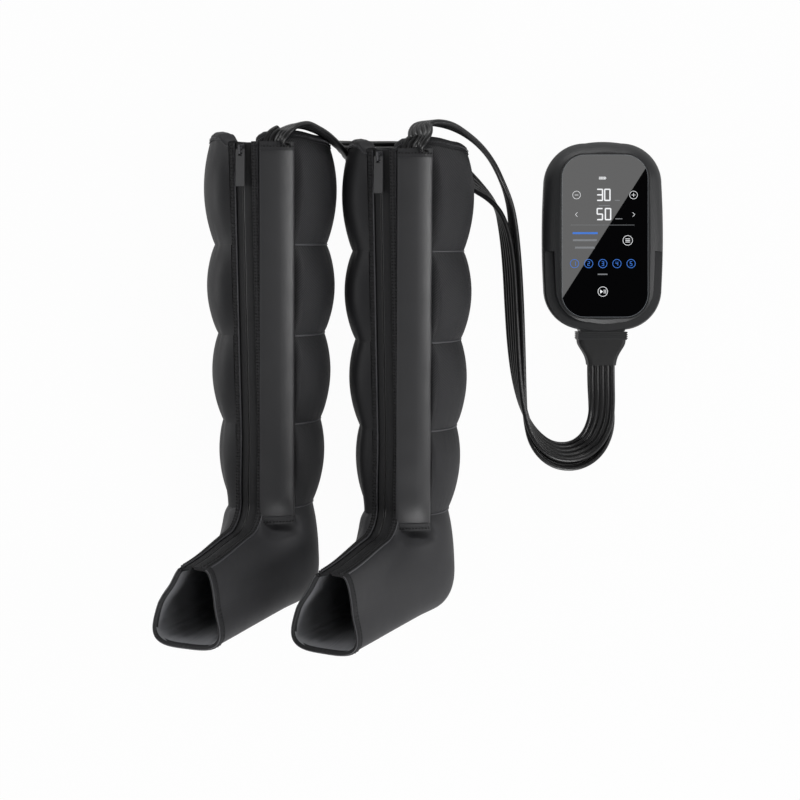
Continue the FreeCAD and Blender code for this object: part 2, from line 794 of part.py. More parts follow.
def boot(hand):
    """All the pieces of one boot."""
    foot = boot_place(hand)
    leg = leg_place(hand)
    lining = mm("liner_thickness")
    gap = mm("fabric_gap")
    half = mm("zip_half_width")

    # the slot for the zip, through the shin and the instep, and the room for the sleeve
    slot_depth = mm("foot_wall") + 14
    slot_rise = mm("zip_bend_radius") - 6
    slot = feature(zip_strip(hand, -slot_depth, slot_rise, -half - gap, half + gap, 30, 30), leg, "slot")
    room = new_body(hand + "_sleeve_room")
    half_room = size("sleeve_width") / 2 + gap
    across = new_sketch(room, "XY_Plane", -gap)
    to_zip = half_room + size("zip_half_width") * 0.5
    outline(across, [
        (-half_room, -size("sleeve_depth") - gap),
        (to_zip, -size("sleeve_depth") - gap),
        (to_zip, size("sleeve_depth") * 6),
        (-half_room, size("sleeve_depth") * 6),
    ])
    room_length = sleeve_length() + mm("rim_height") * 0.1
    pad(room, across, room_length)
    room.Placement = sleeve_place(hand)

    for number, low, high, radii, bores, bulge in LEG:
        ring = chamber_body(
            hand + "_chamber_form_" + number, size(low), size(high),
            [size(name) for name in radii], [size(name) for name in bores], size(bulge))
        seam_down = Rotation(UP, 90 - mm(hand + "_roll"))
        ring.Placement = leg * Placement(Vector(), seam_down)
        node(cut_all(ring, [slot, room, floor]), hand + "_chamber_" + number)

    # the foot chamber: a boot-shaped shell, open at the ankle and the toes
    nothing = [0.0] * 8
    outside = foot_solid(nothing, nothing, nothing)
    inside = foot_solid(*wall_insets())
    shell = feature(outside.cut(inside), foot, "foot_form")
    wide = 3 * mm("heel_half_width")
    deep = 2 * mm("foot_length")
    above = feature(Part.makeBox(wide, deep, 40, Vector(-wide / 2, -deep / 2, mm("ankle_height"))), leg)
    ahead = feature(Part.makeBox(wide, 40, deep, Vector(-wide / 2, -mm("foot_length") - 40, -deep / 2)), foot)
    under = feature(Part.makeBox(wide, 2 * deep, 40, Vector(-wide / 2, -1.5 * deep, -40)), foot)
    node(cut_all(shell, [under, ahead, above, slot, floor]), hand + "_foot_chamber")

    # the lining of the leg
    profile = []
    back = []
    heights = ["ankle_height", "seam_height_c", "seam_height_b", "seam_height_a", "rim_height"]
    bores = ["bore_radius_ankle", "bore_radius_c", "bore_radius_b", "bore_radius_a", "bore_radius_rim"]
    for height, bore in zip(heights, bores):
        profile.append((size(bore) - size("fabric_gap"), size(height)))
        back.append((size(bore) - size("fabric_gap") - size("liner_thickness"), size(height)))
    liner = ring_body(hand + "_liner_form", back + profile[::-1])
    liner.Placement = leg
    node(cut(liner, slot), hand + "_leg_liner")

    # the bindings of the rim and of the toe opening
    top = size("rim_height")
    lip = size("rim_binding_lip")
    depth = size("rim_binding_depth")
    binding = ring_body(hand + "_rim_form", [
        (size("bore_radius_rim") - lip, top),
        (size("rim_radius") - lip, top),
        (size("rim_radius") - lip, top + depth * 0.6),
        (size("bore_radius_rim") - lip, top + depth * 0.6, (size("rim_radius") - size("bore_radius_rim")) * 0.6),
    ])
    binding.Placement = leg
    node(cut(binding, slot), hand + "_rim_binding")

    back_up = Vector(0, foot_slack(), 0)
    rim_station = foot_stations(nothing, nothing, nothing)[-1]
    hole_station = foot_stations(*wall_insets())[-1]
    forward = Vector(0, -mm("toe_binding_depth"), 0)
    rim = Part.Face(foot_section(rim_station[0] + back_up, *rim_station[1:])).extrude(forward)
    hole = Part.Face(foot_section(hole_station[0] + back_up, *hole_station[1:])).extrude(forward)
    ring = rim.cut(hole)
    toe_binding = feature(ring, foot, "toe_form")
    node(cut_all(toe_binding, [slot, under]), hand + "_toe_binding")

    # the zip: two tapes, two coils, and the stitched bindings that cover the tapes' edges
    tape = mm("zip_tape_thickness")
    inner = mm("coil_half_width") + gap
    tapes = [zip_strip(hand, -tape, 0, -half, -inner), zip_strip(hand, -tape, 0, inner, half)]
    coil = mm("coil_thickness") / 2
    seat = -tape / 2
    bare = mm("coil_gap")
    wide = mm("coil_half_width")
    low_coil = seat - coil
    high_coil = seat + coil
    coils = [
        zip_strip(hand, low_coil, high_coil, -wide, -bare),
        zip_strip(hand, low_coil, high_coil, bare, wide),
    ]
    edge = mm("zip_binding_width")
    proud = mm("zip_binding_thickness")
    bindings = [
        zip_strip(hand, 0, proud, -half, -half + edge),
        zip_strip(hand, 0, proud, half - edge, half),
    ]
    for label, solids in (("zip_tapes", tapes), ("zip_coils", coils), ("zip_bindings", bindings)):
        node(feature(Part.makeCompound(solids), leg, label), hand + "_" + label)

    slider(hand)
    pull_tab(hand)
    node(sleeve_body(hand), hand + "_hose_sleeve")
    sleeve_hoses(hand)


for hand in ("left", "right"):
    boot(hand)


# ---------------------------------------------------------------- the pump

WIDE = size("pump_width")
LONG = size("pump_length")
ROUND = size("pump_corner")
WALL = size("shell_wall")
PARTING = size("parting_height")
TOP = size("bezel_height")
LOW = size("foot_pad_height")
PUMP = Placement(Vector(mm("pump_x"), mm("pump_y"), 0), Rotation())


def pump_node(obj, label):
    """Places a piece that was drawn about the pump's middle, and keeps it."""
    if obj.TypeId == "Part::Box":
        obj = group([obj])
    obj.Placement = PUMP * obj.Placement
    return node(obj, label)


def boss_places():
    return [(size("boss_x") * a, size("boss_y") * b) for a in (-1, 1) for b in (-1, 1)]


def rear_shell():
    """The tray at the back: a lofted wall, posts for the screws and openings at both ends."""
    body = new_body("rear_form")
    swell = (PARTING - LOW) * 0.45 + LOW
    outer = [
        (LOW, WIDE - 34, LONG - 34, ROUND - 12),
        (LOW + 6, WIDE - 15, LONG - 15, ROUND - 3),
        (swell, WIDE - 3, LONG - 3, ROUND),
        (PARTING, WIDE, LONG, ROUND),
    ]
    thick = WALL * 2
    inner = [
        (LOW + WALL, WIDE - 34 - thick, LONG - 34 - thick, ROUND - 12 - WALL),
        (LOW + 6 + WALL * 0.5, WIDE - 15 - thick, LONG - 15 - thick, ROUND - 3 - WALL),
        (swell, WIDE - 3 - thick, LONG - 3 - thick, ROUND - WALL),
        (PARTING + 1, WIDE - thick, LONG - thick, ROUND - WALL),
    ]
    loft(body, "AdditiveLoft", shell_sections(body, outer))
    loft(body, "SubtractiveLoft", shell_sections(body, inner))
    posts = []
    holes = []
    for x, y in boss_places():
        posts.append(rod(x, y, LOW + 1, size("boss_radius"), PARTING - LOW - 1))
        holes.append(rod(x, y, 0, size("screw_head_radius") + size("fit_gap"), size("screw_seat_height")))
        holes.append(rod(x, y, 0, size("screw_radius") + size("fit_gap"), PARTING + 5))
    for a in (-1, 1):
        for b in (-1, 1):
            x = size("main_board_width") * 0.44 * a
            y = size("pump_length") * 0.31 + size("main_board_length") * 0.38 * b
            posts.append(rod(x, y, LOW + 1, size("boss_radius") * 0.8, size("post_height") + WALL - 1))
    gap = size("fit_gap")
    mouth = centred_box(
        0, -LONG / 2, size("socket_centre") - size("socket_height") / 2 - gap,
        size("socket_width") + gap * 2, 30, size("socket_height") + gap * 2)
    inlet = rod(size("inlet_x"), LONG / 2 - 12, size("inlet_height"), size("inlet_radius") + gap, 30,
                Vector(0, 1, 0))
    pump_node(cut_all(fuse([body] + posts), holes + [mouth, inlet]), "rear_shell")


def front_shell():
    """The bezel: it slopes from the parting line up to the panel, with a grip cut down each side."""
    body = new_body("front_form")
    trim_w = size("glass_width") + (size("trim_width") + size("panel_gap") * 2) * 2
    trim_l = size("glass_length") + (size("trim_width") + size("panel_gap") * 2) * 2
    trim_r = size("glass_corner") + size("trim_width") + size("panel_gap") * 2
    lip = size("bezel_lip") * 2
    middle = PARTING + (TOP - PARTING) * 0.42
    outer = [
        (PARTING, WIDE, LONG, ROUND),
        (middle, WIDE - 8, LONG - 8, ROUND - 3),
        (TOP, trim_w + lip, trim_l + lip, trim_r + size("bezel_lip")),
    ]
    loft(body, "AdditiveLoft", shell_sections(body, outer))
    grip_w = size("grip_edge_half_width") * 2
    grip_l = size("grip_edge_half_length") * 2
    hollow = new_sketch(body, "XY_Plane", PARTING - 1)
    bowed_rectangle(hollow, grip_w - WALL * 2, grip_l - WALL * 2, ROUND - 8 - WALL, size("pump_bow"))
    ceiling = middle + 2
    pocket(body, hollow, ceiling - PARTING + 1, True)
    window = new_sketch(body, "XY_Plane", TOP + 1)
    bowed_rectangle(window, trim_w - 9, trim_l - 9, trim_r - 4.5, 0.2)
    pocket(body, window, 30)
    recess = new_sketch(body, "XY_Plane", TOP + 1)
    bowed_rectangle(recess, trim_w, trim_l, trim_r, 0.2)
    pocket(body, recess, size("glass_thickness") + 1.2)

    # the grip: outside a rounded edge, the lower part of the bezel steps down to a ledge
    keep = new_body("grip_edge")
    edge = new_sketch(keep, "XY_Plane", PARTING - 10)
    bowed_rectangle(edge, grip_w, grip_l, ROUND - 8, size("pump_bow"))
    pad(keep, edge, 40)
    slab = box(-WIDE, -LONG, size("grip_floor"), WIDE * 2, LONG + size("grip_start"), 40)
    ramp = box(-WIDE, 0, 0, WIDE * 2, 40, 40)
    ramp.Placement = Placement(
        Vector(-mm("pump_width"), mm("grip_start"), mm("grip_floor")), Rotation(SIDE, 30))
    step = cut(cut(slab, ramp), keep)
    posts = []
    holes = []
    for x, y in boss_places():
        posts.append(rod(x, y, PARTING, size("boss_radius"), ceiling - PARTING + 0.5))
        holes.append(rod(x, y, PARTING - 1, size("screw_radius") + 0.1, ceiling - PARTING))
    pump_node(cut_all(fuse([body] + posts), holes + [step]), "front_shell")


def panel():
    """The touch glass and the thin trim line round it."""
    glass = new_body("glass_form")
    face = new_sketch(glass, "XY_Plane", TOP - size("glass_thickness"))
    bowed_rectangle(face, size("glass_width"), size("glass_length"), size("glass_corner"), 0.2)
    pad(glass, face, size("glass_thickness") + 0.1)
    pump_node(glass, "touch_panel")
    trim = new_body("trim_form")
    edge = new_sketch(trim, "XY_Plane", TOP - size("glass_thickness"))
    gap = size("panel_gap")
    grow = (size("trim_width") + gap) * 2
    bowed_rectangle(edge, size("glass_width") + grow, size("glass_length") + grow,
                    size("glass_corner") + size("trim_width") + gap, 0.2)
    pad(trim, edge, size("glass_thickness") + 0.3)
    hole = new_sketch(trim, "XY_Plane", TOP + 2)
    bowed_rectangle(hole, size("glass_width") + gap * 2, size("glass_length") + gap * 2,
                    size("glass_corner") + gap, 0.2)
    pocket(trim, hole, 10)
    pump_node(trim, "panel_trim")


def electronics():
    """The display board under the glass, its light guide, the main board and the battery."""
    seat = TOP - size("glass_thickness") - 0.2
    guide_h = 3.4
    board = size("board_thickness")
    guide = centred_box(0, 0, seat - guide_h, size("glass_width") - 18, size("glass_length") - 38, guide_h)
    windows = []
    for y in (0.2, 0.32):
        windows.append(centred_box(0, size("glass_length") * y, seat - guide_h - 1, 26, 16, 10))
    pump_node(cut_all(guide, windows), "light_guide")
    plate = centred_box(
        0, 0, seat - guide_h - board - 0.1, size("glass_width") - 16, size("glass_length") - 34, board)
    pump_node(plate, "display_board")

    rest = LOW + WALL + size("post_height") + 0.1
    middle = size("pump_length") * 0.31
    pump_node(centred_box(0, middle, rest, size("main_board_width"), size("main_board_length"), board),
              "main_board")
    sensor = fuse([
        centred_box(-18, middle, rest + board + 0.1, 12, 10, 6),
        rod(-18, middle, rest + board + 6, 1.8, 7),
    ])
    pump_node(sensor, "pressure_sensor")
    battery = new_body("battery_form")
    pack = new_sketch(battery, "XY_Plane", LOW + WALL + size("fit_gap"))
    bowed_rectangle(pack, size("battery_width"), size("battery_length"), 6, 0.3)
    pad(battery, pack, size("battery_height"))
    battery.Placement = Placement(Vector(27, -4, 0), Rotation())
    pump_node(battery, "battery_pack")


def air_works():
    """The air pump and its motor, the valve block, the tubes and the sockets."""
    gap = size("fit_gap")
    floor_z = LOW + WALL + gap
    x = -38
    head = new_body("head_form")
    block = new_sketch(head, "XY_Plane", floor_z)
    bowed_rectangle(block, size("head_width"), size("head_length"), 5, 0.3)
    pad(head, block, size("head_height"))
    head.Placement = Placement(Vector(x, -34, 0), Rotation())
    pump_node(head, "air_pump")
    start = -34 + size("head_length") / 2 + gap
    axis_z = floor_z + size("motor_radius")
    motor = fuse([
        rod(x, start, axis_z, size("motor_radius"), size("motor_length"), Vector(0, 1, 0)),
        rod(x, start + size("motor_length") - 0.5, axis_z, 4, 4, Vector(0, 1, 0)),
    ])
    pump_node(motor, "pump_motor")

    socket_z = size("socket_centre")
    face = -LONG / 2 + size("pump_bow") * 0.2
    socket = new_body("socket_form")
    plan = new_sketch(socket, "XZ_Plane", -face)
    half_w = size("socket_width") / 2
    half_h = size("socket_height") / 2
    outline(plan, [
        (-half_w, socket_z - half_h), (half_w, socket_z - half_h),
        (half_w, socket_z + half_h), (-half_w, socket_z + half_h),
    ])
    block = pad(socket, plan, size("socket_depth"))
    block.Reversed = True
    ports = new_sketch(socket, "XZ_Plane", -face)
    places = []
    for row in (-0.5, 0.5):
        for column in (-2, -1, 0, 1, 2):
            places.append((size("port_pitch") * column, socket_z + size("port_row") * row))
    circles(ports, places, size("port_radius"))
    pocket(socket, ports, size("nozzle_length") + 2)
    pump_node(socket, "hose_socket")

    back = face + size("socket_depth")
    tube_run = 7
    tubes = []
    for column in (-2, -1, 0, 1, 2):
        tubes.append(rod(size("port_pitch") * column, back, socket_z, size("tube_radius"), tube_run,
                         Vector(0, 1, 0)))
    pump_node(group(tubes), "air_tubes")
    block_y = back + tube_run
    tall = size("manifold_height")
    manifold = centred_box(0, block_y + size("manifold_length") / 2, socket_z - tall / 2,
                           size("socket_width"), size("manifold_length"), tall)
    legs = [
        centred_box(size("socket_width") * 0.4 * side, block_y + size("manifold_length") / 2, floor_z,
                    6, size("manifold_length"), socket_z - tall / 2 - floor_z + 1)
        for side in (-1, 1)
    ]
    pump_node(fuse([manifold] + legs), "valve_manifold")
    valves = [
        centred_box(size("port_pitch") * column, block_y + size("manifold_length") + size("valve_length") / 2,
                    socket_z - size("valve_height") / 2, size("valve_width"), size("valve_length"),
                    size("valve_height"))
        for column in (-2, -1, 0, 1, 2)
    ]
    pump_node(group(valves), "solenoid_valves")

    mouth = LONG / 2 - 1.4
    height = size("inlet_height")
    barrel = rod(size("inlet_x"), mouth - size("inlet_length"), height, size("inlet_radius"),
                 size("inlet_length"), Vector(0, 1, 0))
    bore = rod(size("inlet_x"), mouth - size("inlet_length") + 3, height, size("inlet_bore"),
               size("inlet_length"), Vector(0, 1, 0))
    pin = rod(size("inlet_x"), mouth - size("inlet_length") + 2, height, 0.9,
              size("inlet_length") - 4, Vector(0, 1, 0))
    pump_node(fuse([cut(barrel, bore), pin]), "power_inlet")


def fixings():
    """Four screws from the back and four rubber feet."""
    screws = []
    for x, y in boss_places():
        head = rod(x, y, size("screw_seat_height") - size("screw_head_height"), size("screw_head_radius"),
                   size("screw_head_height"))
        shank = rod(x, y, size("screw_seat_height") - 0.5, size("screw_radius"), size("screw_length"))
        drive = rod(x, y, size("screw_seat_height") - size("screw_head_height") - 0.5, 1.1, 1.5)
        screws.append(cut(fuse([head, shank]), drive))
    pump_node(group(screws), "shell_screws")
    pads = []
    for a in (-1, 1):
        for b in (-1, 1):
            pads.append(rod(size("pad_x") * a, size("pad_y") * b, 0, size("pad_radius"), LOW))
    pump_node(group(pads), "rubber_feet")


def hose_plug():
    """The plug: ten nozzles on a plate, a ribbed grip and a tapering boot over the ribbons."""
    face = -LONG / 2 + size("pump_bow") * 0.2
    z = size("socket_centre")
    half_w = size("plug_width") / 2
    half_h = size("plug_height") / 2
    rib = size("rib_depth")
    plate_w = size("socket_width") - 2
    plate_h = size("socket_height") - 2
    clear = size("fit_gap") * 3
    core_length = size("plug_grip_length") - clear
    core = centred_box(0, face - clear - core_length / 2, z - half_h + rib,
                       half_w * 2 - rib * 2, core_length, half_h * 2 - rib * 2)
    ribs = []
    for index in range(4):
        ribs.append(centred_box(0, face - 2 - size("rib_pitch") * index, z - half_h,
                                half_w * 2, size("rib_pitch") * 0.6, half_h * 2))
    seat = centred_box(0, face, z - plate_h / 2 - 0.1, plate_w + 0.2, 4, plate_h + 0.2)
    pump_node(cut(fuse([core] + ribs), seat), "plug_grip")

    nozzles = []
    bores = []
    for row in (-0.5, 0.5):
        for column in (-2, -1, 0, 1, 2):
            x = size("port_pitch") * column
            height = z + size("port_row") * row
            nozzles.append(rod(x, face - 0.5, height, size("nozzle_radius"), size("nozzle_length") + 0.5,
                               Vector(0, 1, 0)))
            bores.append(rod(x, face - 4, height, size("nozzle_bore"), size("nozzle_length") + 8,
                             Vector(0, 1, 0)))
    plate = centred_box(0, face - 1, z - plate_h / 2, plate_w, 1.8, plate_h)
    pump_node(cut_all(fuse([plate] + nozzles), [group(bores)]), "plug_nozzles")

    boot_form = new_body("plug_boot_form")
    run = size("plug_boot_length")
    neck = size("plug_neck_width")
    back = -face + size("plug_grip_length")
    sections = []
    for share, width, tall in (
            (0.0, half_w * 2 - 3, half_h * 2 - 2),
            (0.18, half_w * 2 - 5, half_h * 2 - 2),
            (0.52, (half_w * 2 + neck) / 2 - 4, half_h * 2 - 1.5),
            (0.86, neck + 1.5, half_h * 2 - 1),
            (1.0, neck, half_h * 2 - 1)):
        sketch = new_sketch(boot_form, "XZ_Plane", back + run * share)
        x = width / 2
        y = tall / 2
        r = 6
        outline(sketch, [
            (x, z - y + r, r), (x, z + y - r),
            (x - r, z + y, r), (-x + r, z + y),
            (-x, z + y - r, r), (-x, z - y + r),
            (-x + r, z - y, r), (x - r, z - y),
        ])
        sections.append(sketch)
    loft(boot_form, "AdditiveLoft", sections)
    pump_node(boot_form, "plug_boot")


rear_shell()
front_shell()
panel()
electronics()
air_works()
fixings()
hose_plug()


# ---------------------------------------------------------------- the hose ribbons

# Each ribbon of five hoses is one soft cord from the plug to the mouth of a boot's sleeve.
# Points are listed from the plug outward. The left boot's ribbon lies on top, passes the
# rim of the right boot and climbs to its sleeve; the right boot's ribbon lies on the floor.
LEFT_ROUTE = [
    (238.5, -38.0, 38.6),
    (237.5, -71.0, 32.0),
    (224.0, -98.0, 28.0),
    (198.9, -113.5, 25.0),
    (168.0, -109.7, 23.5),
    (143.7, -86.7, 22.5),
    (130.1, -54.2, 22.5),
    (122.6, -13.5, 22.0),
    (118.6, 34.0, 22.5),
    (115.9, 88.2, 22.0),
    (113.2, 142.5, 22.5),
    (107.7, 189.9, 23.0),
    (95.0, 226.1, 24.0),
    (75.8, 249.6, 22.0),
    (48.4, 276.0, 14.0),
    (15.2, 298.3, 8.4),
    (-24.0, 311.0, 7.4),
    (-60.6, 309.7, 8.5),
    (-90.7, 302.6, 19.0),
    (-109.1, 301.3, 40.0),
    (-119.5, 313.0, 65.0),
    (-136.5, 325.0, 92.0),
    (-156.0, 326.0, 122.0),
    (-170.0, 325.0, 147.0),
]
RIGHT_ROUTE = [
    (238.5, -38.0, 23.4),
    (238.9, -75.4, 17.0),
    (228.8, -104.3, 11.0),
    (205.5, -121.9, 8.0),
    (174.1, -122.6, 7.4),
    (150.8, -102.1, 7.6),
    (137.8, -67.9, 7.4),
    (129.6, -21.4, 7.6),
    (126.5, 32.0, 7.4),
    (124.9, 88.2, 7.6),
    (122.4, 147.0, 7.4),
    (118.2, 196.3, 7.8),
    (109.5, 237.1, 11.0),
    (96.4, 267.5, 22.0),
    (80.2, 292.5, 40.0),
    (63.4, 309.6, 62.0),
    (45.6, 319.5, 86.0),
    (27.7, 324.5, 109.0),
    (11.1, 324.0, 131.0),
    (-3.8, 319.0, 149.5),
]


def cord_wire(points):
    """Straight runs joined by tangent arcs, each as large as its two runs allow."""
    edges = []
    radii = []
    start = points[0]
    for before, corner, after in zip(points, points[1:], points[2:]):
        come = (corner - before).normalize()
        leave = (after - corner).normalize()
        turn = come.getAngle(leave)
        reach = 0.45 * min((corner - before).Length, (after - corner).Length)
        radius = reach / math.tan(turn / 2)
        first = corner - come * reach
        last = corner + leave * reach
        inward = (leave - come).normalize()
        centre = corner + inward * math.hypot(radius, reach)
        middle = centre - inward * radius
        edges.append(Part.LineSegment(start, first).toShape())
        edges.append(Part.Arc(first, middle, last).toShape())
        radii.append(radius)
        start = last
    edges.append(Part.LineSegment(start, points[-1]).toShape())
    return Part.Wire(edges), radii


def hose_ribbon(hand, route, level):
    """The ribbon's tube from the plug's neck to the sleeve's mouth."""
    radius = mm("bundle_diameter") / 2
    neck_y = (mm("pump_y") - mm("pump_length") / 2 + mm("pump_bow") * 0.2
              - mm("plug_grip_length") - mm("plug_boot_length"))
    start = Vector(mm("pump_x"), neck_y, mm("socket_centre") + level * (radius + 0.2))
    ahead = start - Vector(0, 22, 0)
    mouth_place = sleeve_place(hand)
    along = mouth_place.Rotation.multVec(UP)
    mouth = mouth_place.multVec(Vector(0, 2.5, sleeve_length()))
    points = [start, ahead] + [Vector(*dot) for dot in route] + [mouth + along * 20, mouth]
    wire, radii = cord_wire(points)
    ring = Part.Wire(Part.makeCircle(radius, start, Vector(0, -1, 0)))
    tube = wire.makePipeShell([ring], True, False)
    expected = math.pi * radius ** 2 * wire.Length
    print("%s ribbon: length %.0f, volume %.4f of section x length, radii %s" % (
        hand, wire.Length, tube.Volume / expected, " ".join("%.0f" % value for value in radii)))
    node(feature(tube, Placement()), "hose_ribbon_" + hand)


hose_ribbon("left", LEFT_ROUTE, 1)
hose_ribbon("right", RIGHT_ROUTE, -1)


# ---------------------------------------------------------------- check and write

doc.recompute()
for item in doc.Objects:
    if "Invalid" in item.State or "Error" in item.State:
        raise RuntimeError("%s (%s) failed" % (item.Name, item.Label))

os.makedirs("parts", exist_ok=True)
for item in NODES:
    shape = item.Shape
    if shape.isNull() or not shape.isValid() or shape.Volume <= 0:
        raise RuntimeError("%s has no valid shape" % item.Label)
    shape.exportStep("parts/%s.step" % item.Label)
    bounds = shape.BoundBox
    print("%-22s %2d solids %9.0f mm3  X %7.1f %7.1f  Y %7.1f %7.1f  Z %6.1f %6.1f" % (
        item.Label, len(shape.Solids), shape.Volume, bounds.XMin, bounds.XMax,
        bounds.YMin, bounds.YMax, bounds.ZMin, bounds.ZMax))
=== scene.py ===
# %% [markdown]
# # Air compression therapy set
# A small pump with a glass touch panel feeds air through two flat hose ribbons to a pair
# of zipped boots that lie on their calves. The construction model holds every piece as a
# solid. This file dresses it: soft pieces are rebuilt as fabric, hard ones get their finish.

# %% Load the frame
import json
import math

import bmesh
import bpy
from mathutils import Matrix, Vector

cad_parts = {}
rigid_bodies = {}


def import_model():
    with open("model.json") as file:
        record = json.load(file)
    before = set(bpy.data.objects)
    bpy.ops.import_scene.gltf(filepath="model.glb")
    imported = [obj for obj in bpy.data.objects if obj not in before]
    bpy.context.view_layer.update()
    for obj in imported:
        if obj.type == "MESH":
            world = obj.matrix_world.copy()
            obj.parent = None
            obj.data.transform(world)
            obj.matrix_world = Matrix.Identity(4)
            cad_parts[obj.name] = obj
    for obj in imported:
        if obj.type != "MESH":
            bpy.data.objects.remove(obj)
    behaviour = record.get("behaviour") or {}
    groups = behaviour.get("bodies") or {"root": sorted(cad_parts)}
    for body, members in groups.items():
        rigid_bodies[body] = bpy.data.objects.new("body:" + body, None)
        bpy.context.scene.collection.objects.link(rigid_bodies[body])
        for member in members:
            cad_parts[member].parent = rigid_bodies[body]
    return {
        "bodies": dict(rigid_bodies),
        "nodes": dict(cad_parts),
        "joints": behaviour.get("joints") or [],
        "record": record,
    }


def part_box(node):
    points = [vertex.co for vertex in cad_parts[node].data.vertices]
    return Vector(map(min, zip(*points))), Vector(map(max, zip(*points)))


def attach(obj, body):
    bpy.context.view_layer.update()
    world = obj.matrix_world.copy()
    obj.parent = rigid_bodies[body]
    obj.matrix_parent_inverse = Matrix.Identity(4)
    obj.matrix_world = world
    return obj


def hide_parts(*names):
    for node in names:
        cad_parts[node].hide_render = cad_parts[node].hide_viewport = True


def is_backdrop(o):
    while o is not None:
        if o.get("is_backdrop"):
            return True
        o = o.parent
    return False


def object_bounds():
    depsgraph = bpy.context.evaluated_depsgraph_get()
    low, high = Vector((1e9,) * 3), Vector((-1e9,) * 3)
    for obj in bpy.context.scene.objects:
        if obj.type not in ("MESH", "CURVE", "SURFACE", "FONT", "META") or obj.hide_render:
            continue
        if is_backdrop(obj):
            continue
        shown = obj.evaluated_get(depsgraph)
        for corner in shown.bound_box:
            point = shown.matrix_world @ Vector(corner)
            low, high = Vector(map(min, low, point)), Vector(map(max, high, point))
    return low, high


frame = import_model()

CAD_BOX = [list(map(float, corner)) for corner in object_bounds()]
NODES = frame["nodes"]
print("construction box in metres:", CAD_BOX)

# %% [markdown]
# Sizes are written in millimetres, as a maker would, and Blender counts in metres. Waves of
# sines that don't quite match give slight unevenness that is the same in every run.

# %% Small helpers
MM = 0.001


def metres(*values):
    """A point given in millimetres, as a vector in metres."""
    return Vector(values) * MM


def blend(a, b, share):
    return a + (b - a) * share


def spaced(low, high, steps):
    """Even places from low to high, both ends included."""
    return [blend(low, high, step / steps) for step in range(steps + 1)]


def soft_step(value, low=0.0, high=1.0):
    """0 below low, 1 above high, with a gentle S between them."""
    share = min(1.0, max(0.0, (value - low) / (high - low)))
    return share * share * (3 - 2 * share)


def ripple(*phases):
    """A smooth wavy number between about -1 and 1, the same in every run."""
    total = 0.0
    for order, phase in enumerate(phases):
        total += math.sin(phase * (1.7 + order) + 2.1 * order) * math.sin(phase * 0.61 + order)
    return total / len(phases)


# %% [markdown]
# A colour is picked on a screen as a hex value, which is sRGB. Shaders mix light, so they
# need the linear value. One function turns one into the other, and every colour below
# passes through it.

# %% Colours
def linear(code):
    """An sRGB hex code as a linear colour, by the curve of the sRGB standard."""
    parts = [int(code[index:index + 2], 16) / 255 for index in (0, 2, 4)]
    curve = [part / 12.92 if part <= 0.04045 else ((part + 0.055) / 1.055) ** 2.4 for part in parts]
    return (*curve, 1.0)


# %% [markdown]
# Every material here is a small graph of nodes. One function adds a node, sets its values
# and joins its inputs, so a graph reads like a list of steps.

# %% Adding a node
def add_node(tree, kind, links=(), **settings):
    """Adds a node. Settings are its properties, or sockets by name; links are (input, output)."""
    node = tree.nodes.new(kind)
    for name, value in settings.items():
        if hasattr(node, name):
            setattr(node, name, value)
        else:
            node.inputs[name.replace("_", " ")].default_value = value
    for socket, source in links:
        tree.links.new(source, node.inputs[socket])
    return node


def new_material(name, **values):
    """A material, its tree and its shader; values are inputs of the shader by name."""
    material = bpy.data.materials.new(name)
    material.use_nodes = True
    tree = material.node_tree
    shader = tree.nodes["Principled BSDF"]
    for socket, value in values.items():
        shader.inputs[socket.replace("_", " ")].default_value = value
    return material, tree, shader


# %% [markdown]
# No real surface is quite even. Noise that is fixed to the object lets a finish vary: it
# moves a value of the shader, or lifts the surface by a fraction of a millimetre.

# %% Unevenness
def object_noise(tree, scale, detail=2.0):
    place = add_node(tree, "ShaderNodeTexCoord")
    links = [("Vector", place.outputs["Object"])]
    return add_node(tree, "ShaderNodeTexNoise", links, Scale=scale, Detail=detail)


def vary(tree, pattern, socket, low, high):
    """A pattern moves an input of the shader between low and high."""
    links = [("Value", pattern.outputs["Fac"])]
    level = add_node(tree, "ShaderNodeMapRange", links, To_Min=low, To_Max=high)
    tree.links.new(level.outputs[0], socket)


def relief(tree, pattern, strength, height, under=()):
    """A bump that follows a pattern; height is in metres, under links another bump."""
    links = [("Height", pattern.outputs["Fac"]), *under]
    return add_node(tree, "ShaderNodeBump", links, Strength=strength, Distance=height).outputs[0]


def mixed(tree, pattern, first, second):
    """Two colours mixed by a pattern."""
    links = [("Factor", pattern.outputs["Fac"])]
    return add_node(tree, "ShaderNodeMix", links, data_type="RGBA", A=first, B=second).outputs["Result"]


# %% [markdown]
# The camera hangs straight above the set and looks down at it. Its place is part of the
# look: at 1.65 m the boots' toes, which stand up towards it, spread outward.

# %% Camera
CAMERA_HEIGHT = 1650
camera_data = bpy.data.cameras.new("overhead_camera")
camera_data.lens = 54
camera_data.sensor_width = 36
camera_data.shift_y = -0.125
camera_data.clip_end = 20
camera = bpy.data.objects.new("overhead_camera", camera_data)
camera.location = metres(-34, 95, CAMERA_HEIGHT)
bpy.context.scene.collection.objects.link(camera)
bpy.context.scene.camera = camera

# %% [markdown]
# The floor is a pale sheet that carries the soft shadow of the set. A white background
# comes from Light Path, not from more light: the camera sees the floor almost white, with
# a little ordinary paint left in for the shadow. Reflections get half of that white, which
# keeps the sides of black cloth dark.

# %% Floor
FLOOR_REACH = 6.0
FLOOR_GAP = 0.0003
FLOOR_WHITE = 0.97
MIRRORED_WHITE = 0.5


def direct_sight(tree):
    """Light Path, and 1 where the camera or a clear material looks straight at the surface."""
    path = add_node(tree, "ShaderNodeLightPath")
    rays = [(0, path.outputs["Is Camera Ray"]), (1, path.outputs["Is Transmission Ray"])]
    return path, add_node(tree, "ShaderNodeMath", rays, operation="MAXIMUM").outputs[0]


